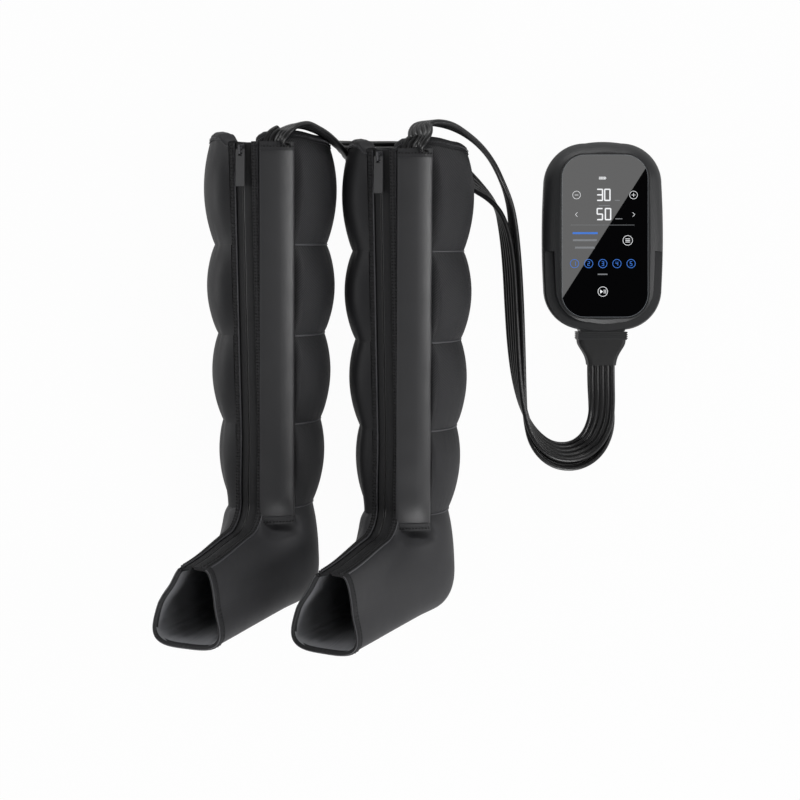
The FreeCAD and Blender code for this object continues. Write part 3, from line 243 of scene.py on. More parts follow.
def scaled(tree, value, factor):
    node = add_node(tree, "ShaderNodeMath", [(0, value)], operation="MULTIPLY")
    node.inputs[1].default_value = factor
    return node.outputs[0]


floor_mesh = bpy.data.meshes.new("studio_floor")
corners = [(x * FLOOR_REACH, y * FLOOR_REACH, 0) for x, y in ((-1, -1), (1, -1), (1, 1), (-1, 1))]
floor_mesh.from_pydata(corners, [], [(0, 1, 2, 3)])
floor = bpy.data.objects.new("studio_floor", floor_mesh)
bpy.context.scene.collection.objects.link(floor)
floor.location.z = CAD_BOX[0][2] - FLOOR_GAP
floor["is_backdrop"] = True
floor_paint, tree, shader = new_material("matt_floor_paint", Base_Color=linear("c6c6c6"), Roughness=0.9)
white = add_node(tree, "ShaderNodeEmission", Color=(1, 1, 1, 1), Strength=1.0)
path, direct = direct_sight(tree)
mirrored = scaled(tree, path.outputs["Is Glossy Ray"], MIRRORED_WHITE)
seen = add_node(tree, "ShaderNodeMath", [(0, direct), (1, mirrored)], operation="MAXIMUM")
share = scaled(tree, seen.outputs[0], FLOOR_WHITE)
mix = add_node(tree, "ShaderNodeMixShader", [(0, share), (1, shader.outputs[0]), (2, white.outputs[0])])
tree.links.new(mix.outputs[0], tree.nodes["Material Output"].inputs["Surface"])
floor_mesh.materials.append(floor_paint)
# %% [markdown]
# A tall, narrow soft box at each side gives rounded fabric a bright rim and a dark middle.
# Two more reach into the toes and along the rims. The camera and clear materials see the
# sky as white. As a light, and in reflections, it has grey walls and a nearly black ceiling,
# so that black cloth seen from above stays black.

# %% World and lamps
WALL_STRENGTH = 0.42
CEILING_STRENGTH = 0.03

world = bpy.data.worlds.new("studio")
bpy.context.scene.world = world
world.use_nodes = True
tree = world.node_tree
backdrop = tree.nodes["Background"]
backdrop.inputs["Color"].default_value = (1, 1, 1, 1)
direction = add_node(tree, "ShaderNodeTexCoord")
parts = add_node(tree, "ShaderNodeSeparateXYZ", [(0, direction.outputs["Generated"])])
ceiling = add_node(tree, "ShaderNodeMapRange", [("Value", parts.outputs["Z"])],
                   interpolation_type="SMOOTHSTEP", From_Min=0.55, From_Max=0.85,
                   To_Min=WALL_STRENGTH, To_Max=CEILING_STRENGTH)
path, seen = direct_sight(tree)
level = add_node(tree, "ShaderNodeMix", [("Factor", seen), ("A", ceiling.outputs[0])],
                 data_type="FLOAT", B=1.0)
tree.links.new(level.outputs["Result"], backdrop.inputs["Strength"])
bpy.context.scene.view_settings.view_transform = "Standard"


def area_lamp(name, place, wide, tall, watts):
    """A rectangular lamp; lengths are in metres."""
    data = bpy.data.lights.new(name, "AREA")
    data.shape = "RECTANGLE"
    data.size = wide
    data.size_y = tall
    data.energy = watts
    lamp = bpy.data.objects.new(name, data)
    lamp.location = place
    bpy.context.scene.collection.objects.link(lamp)
    return lamp


# name, place, target, width, height, watts
SOFT_BOXES = [
    ("left_softbox", (-1.7, 0.1, 0.55), (-0.1, 0.0, 0.1), 0.4, 1.6, 13),
    ("right_softbox", (1.5, 0.05, 1.15), (-0.1, 0.0, 0.1), 0.3, 1.8, 12),
    ("toe_softbox", (0.3, -1.7, 1.0), (-0.15, -0.2, 0.15), 0.8, 0.8, 24),
    ("rim_softbox", (-0.05, 1.9, 0.8), (-0.1, 0.1, 0.1), 1.8, 0.5, 17),
]
for name, place, target, wide, tall, watts in SOFT_BOXES:
    aim = Vector(target) - Vector(place)
    area_lamp(name, place, wide, tall, watts).rotation_euler = aim.to_track_quat("-Z", "Y").to_euler()
# %% [markdown]
# A narrow panel hangs above. The glass mirrors it: its straight edge crosses the display
# on a slant, lit above it and black below.

# %% The panel that the glass mirrors
PANEL_WIDE = 0.28
panel_edge = [Vector((0.676, 0.466, 2.0)), Vector((0.443, 0.102, 2.0))]
edge_way = (panel_edge[0] - panel_edge[1]).normalized()
panel_way = Vector((-edge_way.y, edge_way.x, 0))
panel_middle = (panel_edge[0] + panel_edge[1]) / 2 + panel_way * (PANEL_WIDE / 2)
panel = area_lamp("mirrored_panel", panel_middle, 0.62, PANEL_WIDE, 1.7)
panel.rotation_euler = (0, 0, math.atan2(edge_way.y, edge_way.x))
# %% [markdown]
# Most pieces of this set are skins that run along a line: fabric panels, tapes, bindings
# and hoses. Each is made of rows of points in millimetres, so one helper makes a piece that
# rides on a body, and another makes the faces between the rows.

# %% Rows and pieces


def make_piece(name, dots, faces, finish, spots=None, body="boots_and_hoses", flat=False):
    """A mesh from points in millimetres. spots are (u, v) in metres on the cloth, per point."""
    mesh = bpy.data.meshes.new(name)
    mesh.from_pydata([tuple(Vector(dot) * MM) for dot in dots], [], faces)
    mesh.update()
    shaper = bmesh.new()
    shaper.from_mesh(mesh)
    bmesh.ops.recalc_face_normals(shaper, faces=shaper.faces)
    if spots:
        layer = shaper.loops.layers.uv.new("cloth")
        shaper.verts.ensure_lookup_table()
        for face in shaper.faces:
            for loop in face.loops:
                loop[layer].uv = spots[loop.vert.index]
    for face in shaper.faces:
        face.smooth = not flat
    shaper.to_mesh(mesh)
    shaper.free()
    mesh.set_sharp_from_angle(angle=math.radians(50))
    mesh.materials.append(finish)
    piece = bpy.data.objects.new(name, mesh)
    bpy.context.scene.collection.objects.link(piece)
    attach(piece, body)
    return piece


def closed_skin(name, dots, rows, finish, spots=None):
    """A piece over rows of points: each row closes on itself, and both ends are shut."""
    count = len(dots) // rows
    faces = []
    for row in range(rows - 1):
        for column in range(count):
            a = row * count + column
            b = row * count + (column + 1) % count
            faces.append((a, b, b + count, a + count))
    faces += [tuple(range(count)), tuple(range(len(dots) - count, len(dots)))]
    return make_piece(name, dots, faces, finish, spots)


# %% [markdown]
# The hoses are extruded from a soft black elastomer. Its skin is satin, with a faint drag
# from the die along the tube that the eye reads as a broad, slightly broken highlight.

# %% Finish: extruded elastomer
def extruded_elastomer():
    material, tree, shader = new_material("extruded_black_elastomer", Base_Color=linear("151516"), IOR=1.49)
    grain = object_noise(tree, 420.0, 3.0)
    vary(tree, grain, shader.inputs["Roughness"], 0.3, 0.42)
    tree.links.new(relief(tree, grain, 0.08, 0.0004), shader.inputs["Normal"])
    return material


ELASTOMER = extruded_elastomer()

# %% [markdown]
# Each ribbon is five hoses of 7 mm joined side by side, 35 mm wide. Its middle follows one
# smooth spline whose control points are the route below. A second spline, of one facing
# direction for each control point, says how the flat ribbon twists: it lies flat at
# the plug and under the boot, and stands on its edge where it turns sideways, because a
# flat ribbon can't bend in its own plane.

# %% Routes of the two ribbons
HOSE = 7.0
HOSES = 5

# each entry: the control point, then the way the ribbon's face looks there
LEFT_ROUTE = [
    ((236.5, 7.6, 41.2), (0, 0, 1)),
    ((236.5, -14.4, 41.2), (0, 0, 1)),
    ((237.5, -42.0, 39.0), (0, 0.1, 1)),
    ((236.0, -71.0, 34.0), (-0.2, 0.15, 0.95)),
    ((223.0, -98.0, 29.0), (-0.38, 0.38, 0.84)),
    ((198.9, -112.0, 26.0), (-0.16, 0.72, 0.66)),
    ((169.5, -108.5, 25.0), (0.35, 0.8, 0.5)),
    ((146.5, -86.7, 25.0), (0.75, 0.6, 0.3)),
    ((132.5, -54.2, 25.0), (0.92, 0.35, 0.0)),
    ((124.4, -13.5, 24.0), (0.95, 0.18, -0.2)),
    ((120.0, 34.0, 23.0), (0.93, 0.1, -0.32)),
    ((117.1, 88.2, 22.5), (0.93, 0.1, -0.36)),
    ((114.4, 142.5, 22.5), (0.93, 0.1, -0.36)),
    ((108.3, 189.9, 23.0), (0.9, 0.3, -0.25)),
    ((96.4, 225.4, 23.5), (0.7, 0.65, 0.1)),
    ((62.0, 256.0, 19.0), (0.45, 0.6, 0.6)),
    ((35.0, 277.0, 10.0), (0.2, 0.35, 0.92)),
    ((5.0, 290.0, 5.6), (0, 0.1, 1)),
    ((-30.0, 295.5, 4.6), (0, 0, 1)),
    ((-62.0, 295.5, 5.4), (0.15, 0.05, 1)),
    ((-90.0, 294.5, 13.0), (0.6, 0.15, 0.75)),
    ((-108.0, 293.0, 36.0), (0.85, 0.35, 0.35)),
    ((-111.5, 291.5, 62.0), (0.78, 0.6, 0.15)),
    ((-114.0, 293.5, 85.0), (0.6, 0.78, 0.1)),
    ((-122.0, 301.0, 108.0), (0.45, 0.87, 0.2)),
    ((-137.0, 309.5, 131.0), (0.1, 0.95, 0.25)),
    ((-155.0, 314.5, 149.0), (-0.2, 0.93, 0.25)),
    ((-165.0, 311.0, 161.0), (-0.4, 0.85, 0.35)),
]
RIGHT_ROUTE = [
    ((236.5, 7.6, 26.8), (0, 0, 1)),
    ((236.5, -14.4, 26.8), (0, 0, 1)),
    ((238.5, -45.0, 25.5), (0, 0.1, 1)),
    ((239.9, -79.0, 22.5), (-0.25, 0.2, 0.9)),
    ((228.0, -108.3, 20.0), (-0.4, 0.45, 0.78)),
    ((202.5, -124.9, 19.5), (-0.1, 0.78, 0.6)),
    ((171.1, -122.6, 19.5), (0.35, 0.8, 0.45)),
    ((147.8, -100.1, 19.0), (0.7, 0.6, 0.35)),
    ((136.8, -64.9, 18.5), (0.9, 0.3, 0.15)),
    ((131.6, -21.4, 18.8), (0.95, 0.1, -0.1)),
    ((127.5, 32.0, 19.5), (0.93, 0.1, -0.3)),
    ((124.9, 88.2, 20.0), (0.93, 0.1, -0.36)),
    ((122.4, 147.0, 20.5), (0.93, 0.12, -0.3)),
    ((119.5, 200.0, 23.0), (0.93, 0.25, -0.1)),
    ((113.0, 232.0, 31.0), (0.9, 0.4, 0.05)),
    ((99.0, 262.0, 46.0), (0.8, 0.55, 0.2)),
    ((84.0, 284.0, 68.0), (0.62, 0.7, 0.32)),
    ((64.0, 300.5, 94.0), (0.4, 0.82, 0.34)),
    ((42.0, 311.0, 120.0), (0.2, 0.92, 0.3)),
    ((20.0, 317.0, 143.0), (-0.1, 0.95, 0.22)),
    ((0.0, 316.0, 158.0), (-0.35, 0.87, 0.3)),
    ((-11.0, 308.5, 167.0), (-0.55, 0.6, 0.55)),
]


def smooth_line(points, steps=10):
    """Points along one NURBS spline of order 3 with these control points."""
    curve = bpy.data.curves.new("route", "CURVE")
    curve.dimensions = "3D"
    curve.resolution_u = steps
    line = curve.splines.new("NURBS")
    line.points.add(len(points) - 1)
    for dot, point in zip(line.points, points):
        dot.co = (*point, 1)
    line.order_u = 3
    line.use_endpoint_u = True
    holder = bpy.data.objects.new("route", curve)
    mesh = bpy.data.meshes.new_from_object(holder)
    dots = [vertex.co.copy() for vertex in mesh.vertices]
    bpy.data.objects.remove(holder)
    bpy.data.curves.remove(curve)
    bpy.data.meshes.remove(mesh)
    return dots


# %% [markdown]
# The section is drawn once: five round lobes above and five below, with a thin web in the
# grooves between them. It is carried along the line, turned to the facing direction.

# %% The ribbon's section
def ribbon_section():
    """(across, out) points round five joined hoses."""
    radius = HOSE / 2
    outline = []
    for side in (1, -1):
        for index in range(HOSES):
            middle = (index - (HOSES - 1) / 2) * HOSE * side
            start = 180 if index == 0 else 158
            for angle in (start, 135, 112, 90, 68, 45, 22):
                turn = math.radians(angle)
                outline.append((middle + math.cos(turn) * radius * side, math.sin(turn) * radius * side))
    return outline


def ribbon(name, stops, node):
    """A ribbon along its stops, the last of which lie in the sleeve's mouth."""
    line = smooth_line([point for point, facing in stops])
    looks = smooth_line([facing for point, facing in stops])
    outline = ribbon_section()
    dots = []
    for index, (spot, look) in enumerate(zip(line, looks)):
        ahead = line[min(index + 1, len(line) - 1)]
        behind = line[max(index - 1, 0)]
        along = (ahead - behind).normalized()
        across = along.cross(look).normalized()
        out = across.cross(along)
        dots += [spot + across * a + out * b for a, b in outline]
    piece = closed_skin(name, dots, len(line), ELASTOMER)
    length = sum((b - a).length for a, b in zip(line, line[1:]))
    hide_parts(node)
    print(name, "is %.0f mm long" % length)


# %% [markdown]
# The boots lean outward as they lie, so every piece of a boot is drawn in the boot's own
# directions and then set down. Two frames are needed: the foot's, and the leg's, which is
# tipped a little at the ankle so that every chamber rests on the floor.

# %% The boots' own frames
BOOTS = {
    "left": {"axis_x": -202.5, "sole_y": -302.0, "roll": 22.0},
    "right": {"axis_x": -23.5, "sole_y": -310.5, "roll": 28.0},
}
ANKLE_REST = 65.2
ANKLE = 132.0
SHIN_LIFT = math.radians(2.9)


def foot_frame(hand):
    """x across the boot, -y out of the front, z up from the sole; lengths in millimetres."""
    boot = BOOTS[hand]
    roll = math.radians(boot["roll"])
    across = Vector((math.cos(roll), 0, math.sin(roll)))
    back = Vector((math.sin(roll), 0, -math.cos(roll)))
    up = Vector((0, 1, 0))
    turn = Matrix((across, back, up)).transposed().to_4x4()
    return Matrix.Translation((boot["axis_x"], boot["sole_y"], ANKLE_REST)) @ turn


def leg_frame(hand):
    """The same directions, tipped about the ankle by the lift of the shin."""
    boot = BOOTS[hand]
    hinge = Vector((boot["axis_x"], boot["sole_y"] + ANKLE, ANKLE_REST))
    tip = Matrix.Rotation(SHIN_LIFT, 4, "X")
    return Matrix.Translation(hinge) @ tip @ Matrix.Translation(-hinge) @ foot_frame(hand)


SLEEVE_ANGLE = math.radians(34)
# (distance from the leg's axis, height) of the sleeve's lower and upper hem
SLEEVE_LOW = (60.0, 152.0)
SLEEVE_HIGH = (79.0, 597.0)
# its edges, across from its line: far from the zip and beside the zip
SLEEVE_FAR = 22.0
SLEEVE_NEAR = 22.0


def sleeve_frame(hand):
    """z up the sleeve from its lower hem, y out of the leg, x towards the zip."""
    out = Vector((math.sin(SLEEVE_ANGLE), -math.cos(SLEEVE_ANGLE), 0))
    low = out * SLEEVE_LOW[0] + Vector((0, 0, SLEEVE_LOW[1]))
    high = out * SLEEVE_HIGH[0] + Vector((0, 0, SLEEVE_HIGH[1]))
    along = (high - low).normalized()
    across = out.cross(along).normalized()
    normal = along.cross(across)
    turn = Matrix((across, normal, along)).transposed().to_4x4()
    return leg_frame(hand) @ Matrix.Translation(low) @ turn


SLEEVE_LENGTH = math.hypot(SLEEVE_HIGH[0] - SLEEVE_LOW[0], SLEEVE_HIGH[1] - SLEEVE_LOW[1])

# %% [markdown]
# Each ribbon ends inside its sleeve. The last stops turn it from its edge on to its flat
# side, so that the five hoses lie side by side under the cloth.

# %% The two ribbons
for hand, route in (("left", LEFT_ROUTE), ("right", RIGHT_ROUTE)):
    sleeve = sleeve_frame(hand)
    out = sleeve.to_3x3() @ Vector((0, 1, 0))
    aside = sleeve.to_3x3() @ Vector((1, 0, 0))
    along = sleeve.to_3x3() @ Vector((0, 0, 1))
    mouth = [
        (sleeve @ Vector((-7.5, 10, SLEEVE_LENGTH + 14)), out * 0.3 + aside * 0.65 + along * 0.7),
        (sleeve @ Vector((-1, 5.9, SLEEVE_LENGTH + 7)), out * 0.65 + aside * 0.6 + along * 0.45),
        (sleeve @ Vector((0.8, 2.2, SLEEVE_LENGTH + 0.5)), out + aside * 0.35 + along * 0.1),
        (sleeve @ Vector((0.8, 0.6, SLEEVE_LENGTH - 8)), out + aside * 0.16),
    ]
    ribbon(hand + "_ribbon", route + mouth, "hose_ribbon_" + hand)

# %% [markdown]
# A boot is sewn from nylon cloth with a rubbery coat inside, welded into five chambers.
# Air makes each chamber a barrel between two welds. The cloth dips to the zip's straight
# band at the front and to the hose sleeve beside it, and lies flat where it rests.

# %% The leg's form
# from the rim down: height above the sole, outer radius at the weld, radius of the leg space
RIM = 606.0
WELDS = [(RIM, 75.0, 58.0), (470.0, 72.5, 56.0), (355.0, 69.0, 52.0), (242.0, 63.5, 47.0),
         (ANKLE, 53.0, 40.0)]
# the largest radius of each chamber, and the cloth's puckers beside a weld
SWELLS = [86.0, 83.0, 77.0, 68.0]
PUCKER_REACH = 9
PUCKER_HEIGHT = 1.5
ZIP_RIM = Vector((0, -75.5, RIM))
ZIP_ANKLE = Vector((0, -57.4, 110))
ZIP_BEND = 34.0
# the width over which the cloth rises from the zip's band, and the zip's way aside at the toes
ZIP_EASE = 33
ZIP_WANDER = 15
# the zip's two edges, across from its middle; the sleeve is sewn against the right one
ZIP_LEFT = -17.5
ZIP_RIGHT = 21.2
FOOT_LENGTH = 210.0
TOE_HEIGHT = 87.0
# radii that turn an angle round the leg into a width: of the cloth, at the sleeve, of the
# lining and at the foot's instep
LEG_RADIUS = 75
SLEEVE_RADIUS = 78
LINING_RADIUS = 55
INSTEP_RADIUS = 62


def zip_edge(side):
    """How far the zip's edge lies from its middle; the right edge for a positive side."""
    return ZIP_RIGHT if side > 0 else -ZIP_LEFT


def leg_way(turn):
    """A turn from the zip as a signed angle, and the way out of the leg there."""
    signed = turn if turn < math.pi else turn - 2 * math.pi
    return signed, Vector((math.sin(signed), -math.cos(signed), 0))


def round_leg(height, steps):
    """Turns round the leg, from the zip's right edge to its left edge at a height."""
    front = zip_front(height)
    first = math.atan2(ZIP_RIGHT - 1, front)
    return spaced(first, 2 * math.pi - math.atan2(1 - ZIP_LEFT, front), steps)


def zip_front(height):
    """How far the zip's outer face lies in front of the leg's axis."""
    share = (height - ZIP_ANKLE.z) / (ZIP_RIM.z - ZIP_ANKLE.z)
    return -blend(ZIP_ANKLE.y, ZIP_RIM.y, share)


def barrel(index, height):
    """The inflated radius of one chamber: an arc from weld to weld."""
    high_z, high_r, _ = WELDS[index]
    low_z, low_r, _ = WELDS[index + 1]
    half = math.hypot(high_z - low_z, high_r - low_r) / 2
    swell = SWELLS[index] - (high_r + low_r) / 2
    bend = (half * half + swell * swell) / (2 * swell)
    share = (height - low_z) / (high_z - low_z)
    step = (share * 2 - 1) * half
    return blend(low_r, high_r, share) + math.sqrt(max(0, bend * bend - step * step)) - (bend - swell)


def bore(height):
    """The radius of the leg space at a height."""
    for (high_z, _, high_r), (low_z, _, low_r) in zip(WELDS, WELDS[1:]):
        if height >= low_z - 0.01:
            return blend(low_r, high_r, (height - low_z) / (high_z - low_z))
    return WELDS[-1][2]


def sleeve_floor(height):
    """How far the underside of the hose sleeve lies from the leg's axis."""
    share = (height - SLEEVE_LOW[1]) / (SLEEVE_HIGH[1] - SLEEVE_LOW[1])
    return blend(SLEEVE_LOW[0], SLEEVE_HIGH[0], share) - 3.6


# how far the rim dips at a turn from the zip, in degrees: it is cut lower beside the zip
RIM_DIPS = [(-180, 3), (-90, 2), (-62, -2), (-38, -4), (-24, -1), (-15, 9), (0, 9), (13, 9),
            (17, 3), (22, -1), (34, -4.5), (52, -4), (80, 0), (110, 3), (180, 3)]


def rim_dip(turn):
    degrees = math.degrees(turn)
    for (low, low_dip), (high, high_dip) in zip(RIM_DIPS, RIM_DIPS[1:]):
        if degrees <= high:
            return blend(low_dip, high_dip, soft_step(degrees, low, high))
    return RIM_DIPS[-1][1]


def leg_skin(index, turn, height):
    """The outer radius at a turn from the zip (towards the sleeve) and a height."""
    radius = barrel(index, height)
    off = abs(turn)
    if off < 1.2:
        plane = zip_front(height) / math.cos(off)
        edge = zip_edge(turn)
        radius = blend(plane, radius, soft_step(off * radius, edge, edge + ZIP_EASE))
    from_sleeve = abs(turn - SLEEVE_ANGLE)
    beside = from_sleeve * SLEEVE_RADIUS
    if from_sleeve < 1.2:
        plane = sleeve_floor(height) / math.cos(from_sleeve)
        pressed = 1 - soft_step(beside, SLEEVE_FAR - 0.5, SLEEVE_FAR + 11)
        radius = blend(radius, min(radius, plane), pressed)
    free = soft_step(off * LEG_RADIUS, 40, 75) * soft_step(beside, 30, 55)
    near_weld = min(abs(height - WELDS[index][0]), abs(height - WELDS[index + 1][0]))
    pucker = math.exp(-near_weld / PUCKER_REACH) * near_weld / PUCKER_REACH
    waves = ripple(turn * 11 + index, turn * 17 + height * 0.02, turn * 29 + index * 3)
    radius += free * pucker * PUCKER_HEIGHT * waves
    return radius


def settle(point, lift=0.4):
    """Keeps a point of the row above the floor, where the cloth lies flat."""
    if point.z < lift:
        point.z = lift
    return point


# %% [markdown]
# The zip's line is straight down the shin, bends at the ankle and is straight along the
# instep. Everything sewn beside the zip is a strip along this line, so it is worked out
# once as a list of places with the way along and the way out. Along the instep the zip
# wanders towards the outer side, and its left edge folds down over the foot.

# %% The zip's line
def zip_line(hand, step, start=0.0, end=0.0):
    """Places down the zip in the leg's frame: (point, along, out, share of the instep)."""
    toe = leg_frame(hand).inverted() @ (foot_frame(hand) @ Vector((0, -FOOT_LENGTH - 4, TOE_HEIGHT + 4)))
    toe.x = 0
    down = (ZIP_ANKLE - ZIP_RIM).normalized()
    forth = (toe - ZIP_ANKLE).normalized()
    turn = down.angle(forth)
    reach = ZIP_BEND * math.tan(turn / 2)
    leave = ZIP_ANKLE - down * reach
    meet = ZIP_ANKLE + forth * reach

    def outward(way):
        return Vector((0, way.z, -way.y))

    centre = leave + outward(down) * ZIP_BEND
    places = []
    first = ZIP_RIM + down * start
    count = int((leave - first).length / step)
    for index in range(count):
        places.append((first.lerp(leave, index / count), down))
    count = int(ZIP_BEND * turn / step) + 1
    for index in range(count):
        swing = Matrix.Rotation(-turn * index / count, 3, "X")
        way = swing @ down
        places.append((centre - outward(way) * ZIP_BEND, way))
    last = toe + forth * end
    count = int((last - meet).length / step)
    for index in range(count + 1):
        places.append((meet.lerp(last, index / count), forth))
    rows = []
    for point, way in places:
        instep = soft_step(-point.y, 62, -toe.y)
        wander = ZIP_WANDER * instep - 3 * soft_step(-point.z, -235, -150)
        rows.append((point + Vector((wander, 0, 0)), way, outward(way), instep))
    return rows


def zip_lift(across, instep):
    """How far the zip's band lies above its middle plane: the edges fold down at the toes."""
    left = max(0, -across - 7)
    right = max(0, across - 12)
    return -instep * (left * left * 0.05 + right * right * 0.015)


# %% [markdown]
# A strip is swept along the zip's line: its section is a list of (across, out) points. A
# row of stitches is one small raised thread after another, mostly 2.4 mm long with 1.7 mm
# between them, where the thread dives.

# %% Strips and stitches
TAPE_FOOT = -0.5
MACHINE_STITCH = {"long": 2.4, "gap": 1.7}


def beside_zip(frame, place, across, rise):
    """A point across from the zip's line and above its band."""
    point, along, out, instep = place
    return frame @ (point + Vector((across, 0, 0)) + out * (rise + zip_lift(across, instep)))


def stitch_row(dots, faces, line, lifts, long, gap, thick=0.55, slant=0.0):
    """Adds threads along a line of points; lifts are the ways out of the cloth there."""
    travelled = 0.0
    next_start = gap
    index = 0
    while index < len(line) - 1:
        piece = (line[index + 1] - line[index]).length
        if travelled + piece < next_start:
            travelled += piece
            index += 1
            continue
        along = (line[index + 1] - line[index]).normalized()
        spot = line[index] + along * (next_start - travelled)
        out = lifts[index]
        side = along.cross(out).normalized()
        run = (along + side * slant).normalized()
        first = len(dots)
        for share, tall in ((0.0, -0.25), (0.22, 0.8), (0.5, 1.0), (0.78, 0.8), (1.0, -0.25)):
            middle = spot + run * ((share - 0.5) * long)
            for across, extra in ((-1, 0), (1, 0), (0, 0.45)):
                dots.append(middle + out * (thick * (tall + extra)) + side * (thick * 0.62 * across))
        for ring in range(4):
            a = first + ring * 3
            faces.append((a, a + 2, a + 5, a + 3))
            faces.append((a + 2, a + 1, a + 4, a + 5))
        next_start += long + gap


def tape_section(left, right, thick):
    """A folded tape with a shallow groove for each of its two rows of stitches."""
    wide = right - left
    shape = [(0, 0.55), (0.05, 0.88), (0.16, 1), (0.24, 0.82), (0.32, 1), (0.5, 1.04),
             (0.68, 1), (0.76, 0.82), (0.84, 1), (0.95, 0.88), (1, 0.55)]
    upper = [(left + wide * share, thick * rise) for share, rise in shape]
    return [(left, TAPE_FOOT)] + upper + [(left + wide, TAPE_FOOT)]


# %% [markdown]
# The chambers are nylon with a polyurethane coat: close woven, matt, with a soft sheen
# where the cloth turns away. Beyond the sleeve the panel is a coarser diagonal twill. The
# real threads are 0.3 mm apart, too fine to show, so the weave is drawn at 1 to 2 mm. The
# lining's colour is written much lighter than it looks in the dark of a boot: it is painted
# light, which stands in for light that doesn't reach in there.

# %% Finish: coated nylon, plain and twill
# a wave texture makes one band in each 0.314 of its scaled input
WAVE_BAND = 0.314


def coated_nylon(name, colours, pitch, depth, diagonal, rough=(0.46, 0.6), crease=0.25, gloss=0.28):
    """colours are two of the cloth and one of its grooves; pitch is in mm, diagonal in degrees."""
    material, tree, shader = new_material(name, Specular_IOR_Level=gloss)
    cloth = add_node(tree, "ShaderNodeUVMap", uv_map="cloth")
    turned = add_node(tree, "ShaderNodeMapping", [("Vector", cloth.outputs["UV"])],
                      Rotation=(0, 0, math.radians(diagonal)))
    threads = add_node(tree, "ShaderNodeTexWave", [("Vector", turned.outputs[0])], wave_type="BANDS",
                       bands_direction="X", wave_profile="SIN", Scale=WAVE_BAND / (pitch * MM),
                       Distortion=0.6, Detail=1.0, Detail_Scale=4.0)
    cloud = object_noise(tree, 38.0, 5.0)
    tone = mixed(tree, cloud, linear(colours[0]), linear(colours[1]))
    weave = add_node(tree, "ShaderNodeMix", [("Factor", threads.outputs["Fac"]), ("A", tone)],
                     data_type="RGBA", B=linear(colours[2]))
    tree.links.new(weave.outputs["Result"], shader.inputs["Base Color"])
    vary(tree, cloud, shader.inputs["Roughness"], *rough)
    bump = relief(tree, threads, depth, 0.0004)
    creases = relief(tree, object_noise(tree, 22.0), crease, 0.004, [("Normal", bump)])
    tree.links.new(creases, shader.inputs["Normal"])
    return material


# the foot's cloth is the chambers' nylon painted lighter: painted light on the foot's shaded side
FOOT_NYLON_PAINTED_LIGHT = coated_nylon("foot_nylon_painted_lighter", ("303032", "353537", "303032"), 0.9, 0.12, 0)
PLAIN_NYLON = coated_nylon("plain_coated_nylon", ("1e1e20", "222224", "1f1f21"), 0.9, 0.12, 0)
TWILL_NYLON = coated_nylon("twill_coated_nylon", ("363638", "3b3b3d", "1d1d1f"), 2.0, 0.8, 38)
# the lining's colours are painted light: far lighter than the lining is, for the dark inside of the boot
LINING_PAINTED_LIGHT = coated_nylon("wrinkled_lining_painted_light", ("7e7e82", "88888c", "787a7c"), 1.2, 0.15, 0)
SLEEVE_CLOTH = coated_nylon("smooth_sleeve_cloth", ("29292b", "2d2d2f", "2a2a2c"), 0.8, 0.06, 90,
                            rough=(0.38, 0.44), crease=0.04, gloss=0.85)
HEM_CLOTH = coated_nylon("folded_hem_cloth", ("2a2a2c", "2f2f31", "262628"), 0.8, 0.06, 90,
                         rough=(0.5, 0.56), crease=0.04, gloss=0.4)
TAPE = coated_nylon("woven_binding_tape", ("2b2b2d", "313133", "232325"), 1.1, 0.5, 90, (0.55, 0.7), 0.0)
# the toe's tape is the rim's woven tape painted darker: painted shade at the toe opening
TOE_TAPE_PAINTED_SHADE = coated_nylon("toe_tape_painted_shade", ("232325", "29292b", "1c1c1e"), 1.1, 0.5, 90, (0.55, 0.7), 0.0)
ZIP_TAPE = coated_nylon("woven_zip_tape", ("1c1c1e", "222224", "161617"), 1.3, 0.6, 0, (0.6, 0.75), 0.0)


def plain_finish(name, colour, rough, scale=600.0, grain=0.1, metal=0.0):
    """A moulded or drawn surface: even colour, with a fine grain that breaks its highlight."""
    material, tree, shader = new_material(name, Base_Color=linear(colour), Metallic=metal)
    noise = object_noise(tree, scale, 3.0)
    vary(tree, noise, shader.inputs["Roughness"], rough * 0.85, min(1.0, rough * 1.15))
    tree.links.new(relief(tree, noise, grain, 0.0002), shader.inputs["Normal"])
    return material


THREAD = plain_finish("polyester_thread", "060607", 0.8, 2500.0)
PALE_THREAD = plain_finish("pale_polyester_thread", "59595c", 0.7, 2500.0)
# the pale colour of the welds and folded edges is a painted highlight, where those edges catch light
PAINTED_EDGE_HIGHLIGHT = plain_finish("painted_fold_highlight", "48484b", 0.5, 1800.0)
COIL_NYLON = plain_finish("nylon_zip_coil", "0e0e0f", 0.45, 1500.0)

# %% [markdown]
# One chamber is one closed skin: its section, from weld to weld outside and back along the
# leg space, is turned from one edge of the zip round to the other.

# %% The four leg chambers
ROUND_STEPS = 160
TWILL_TO = math.radians(172)


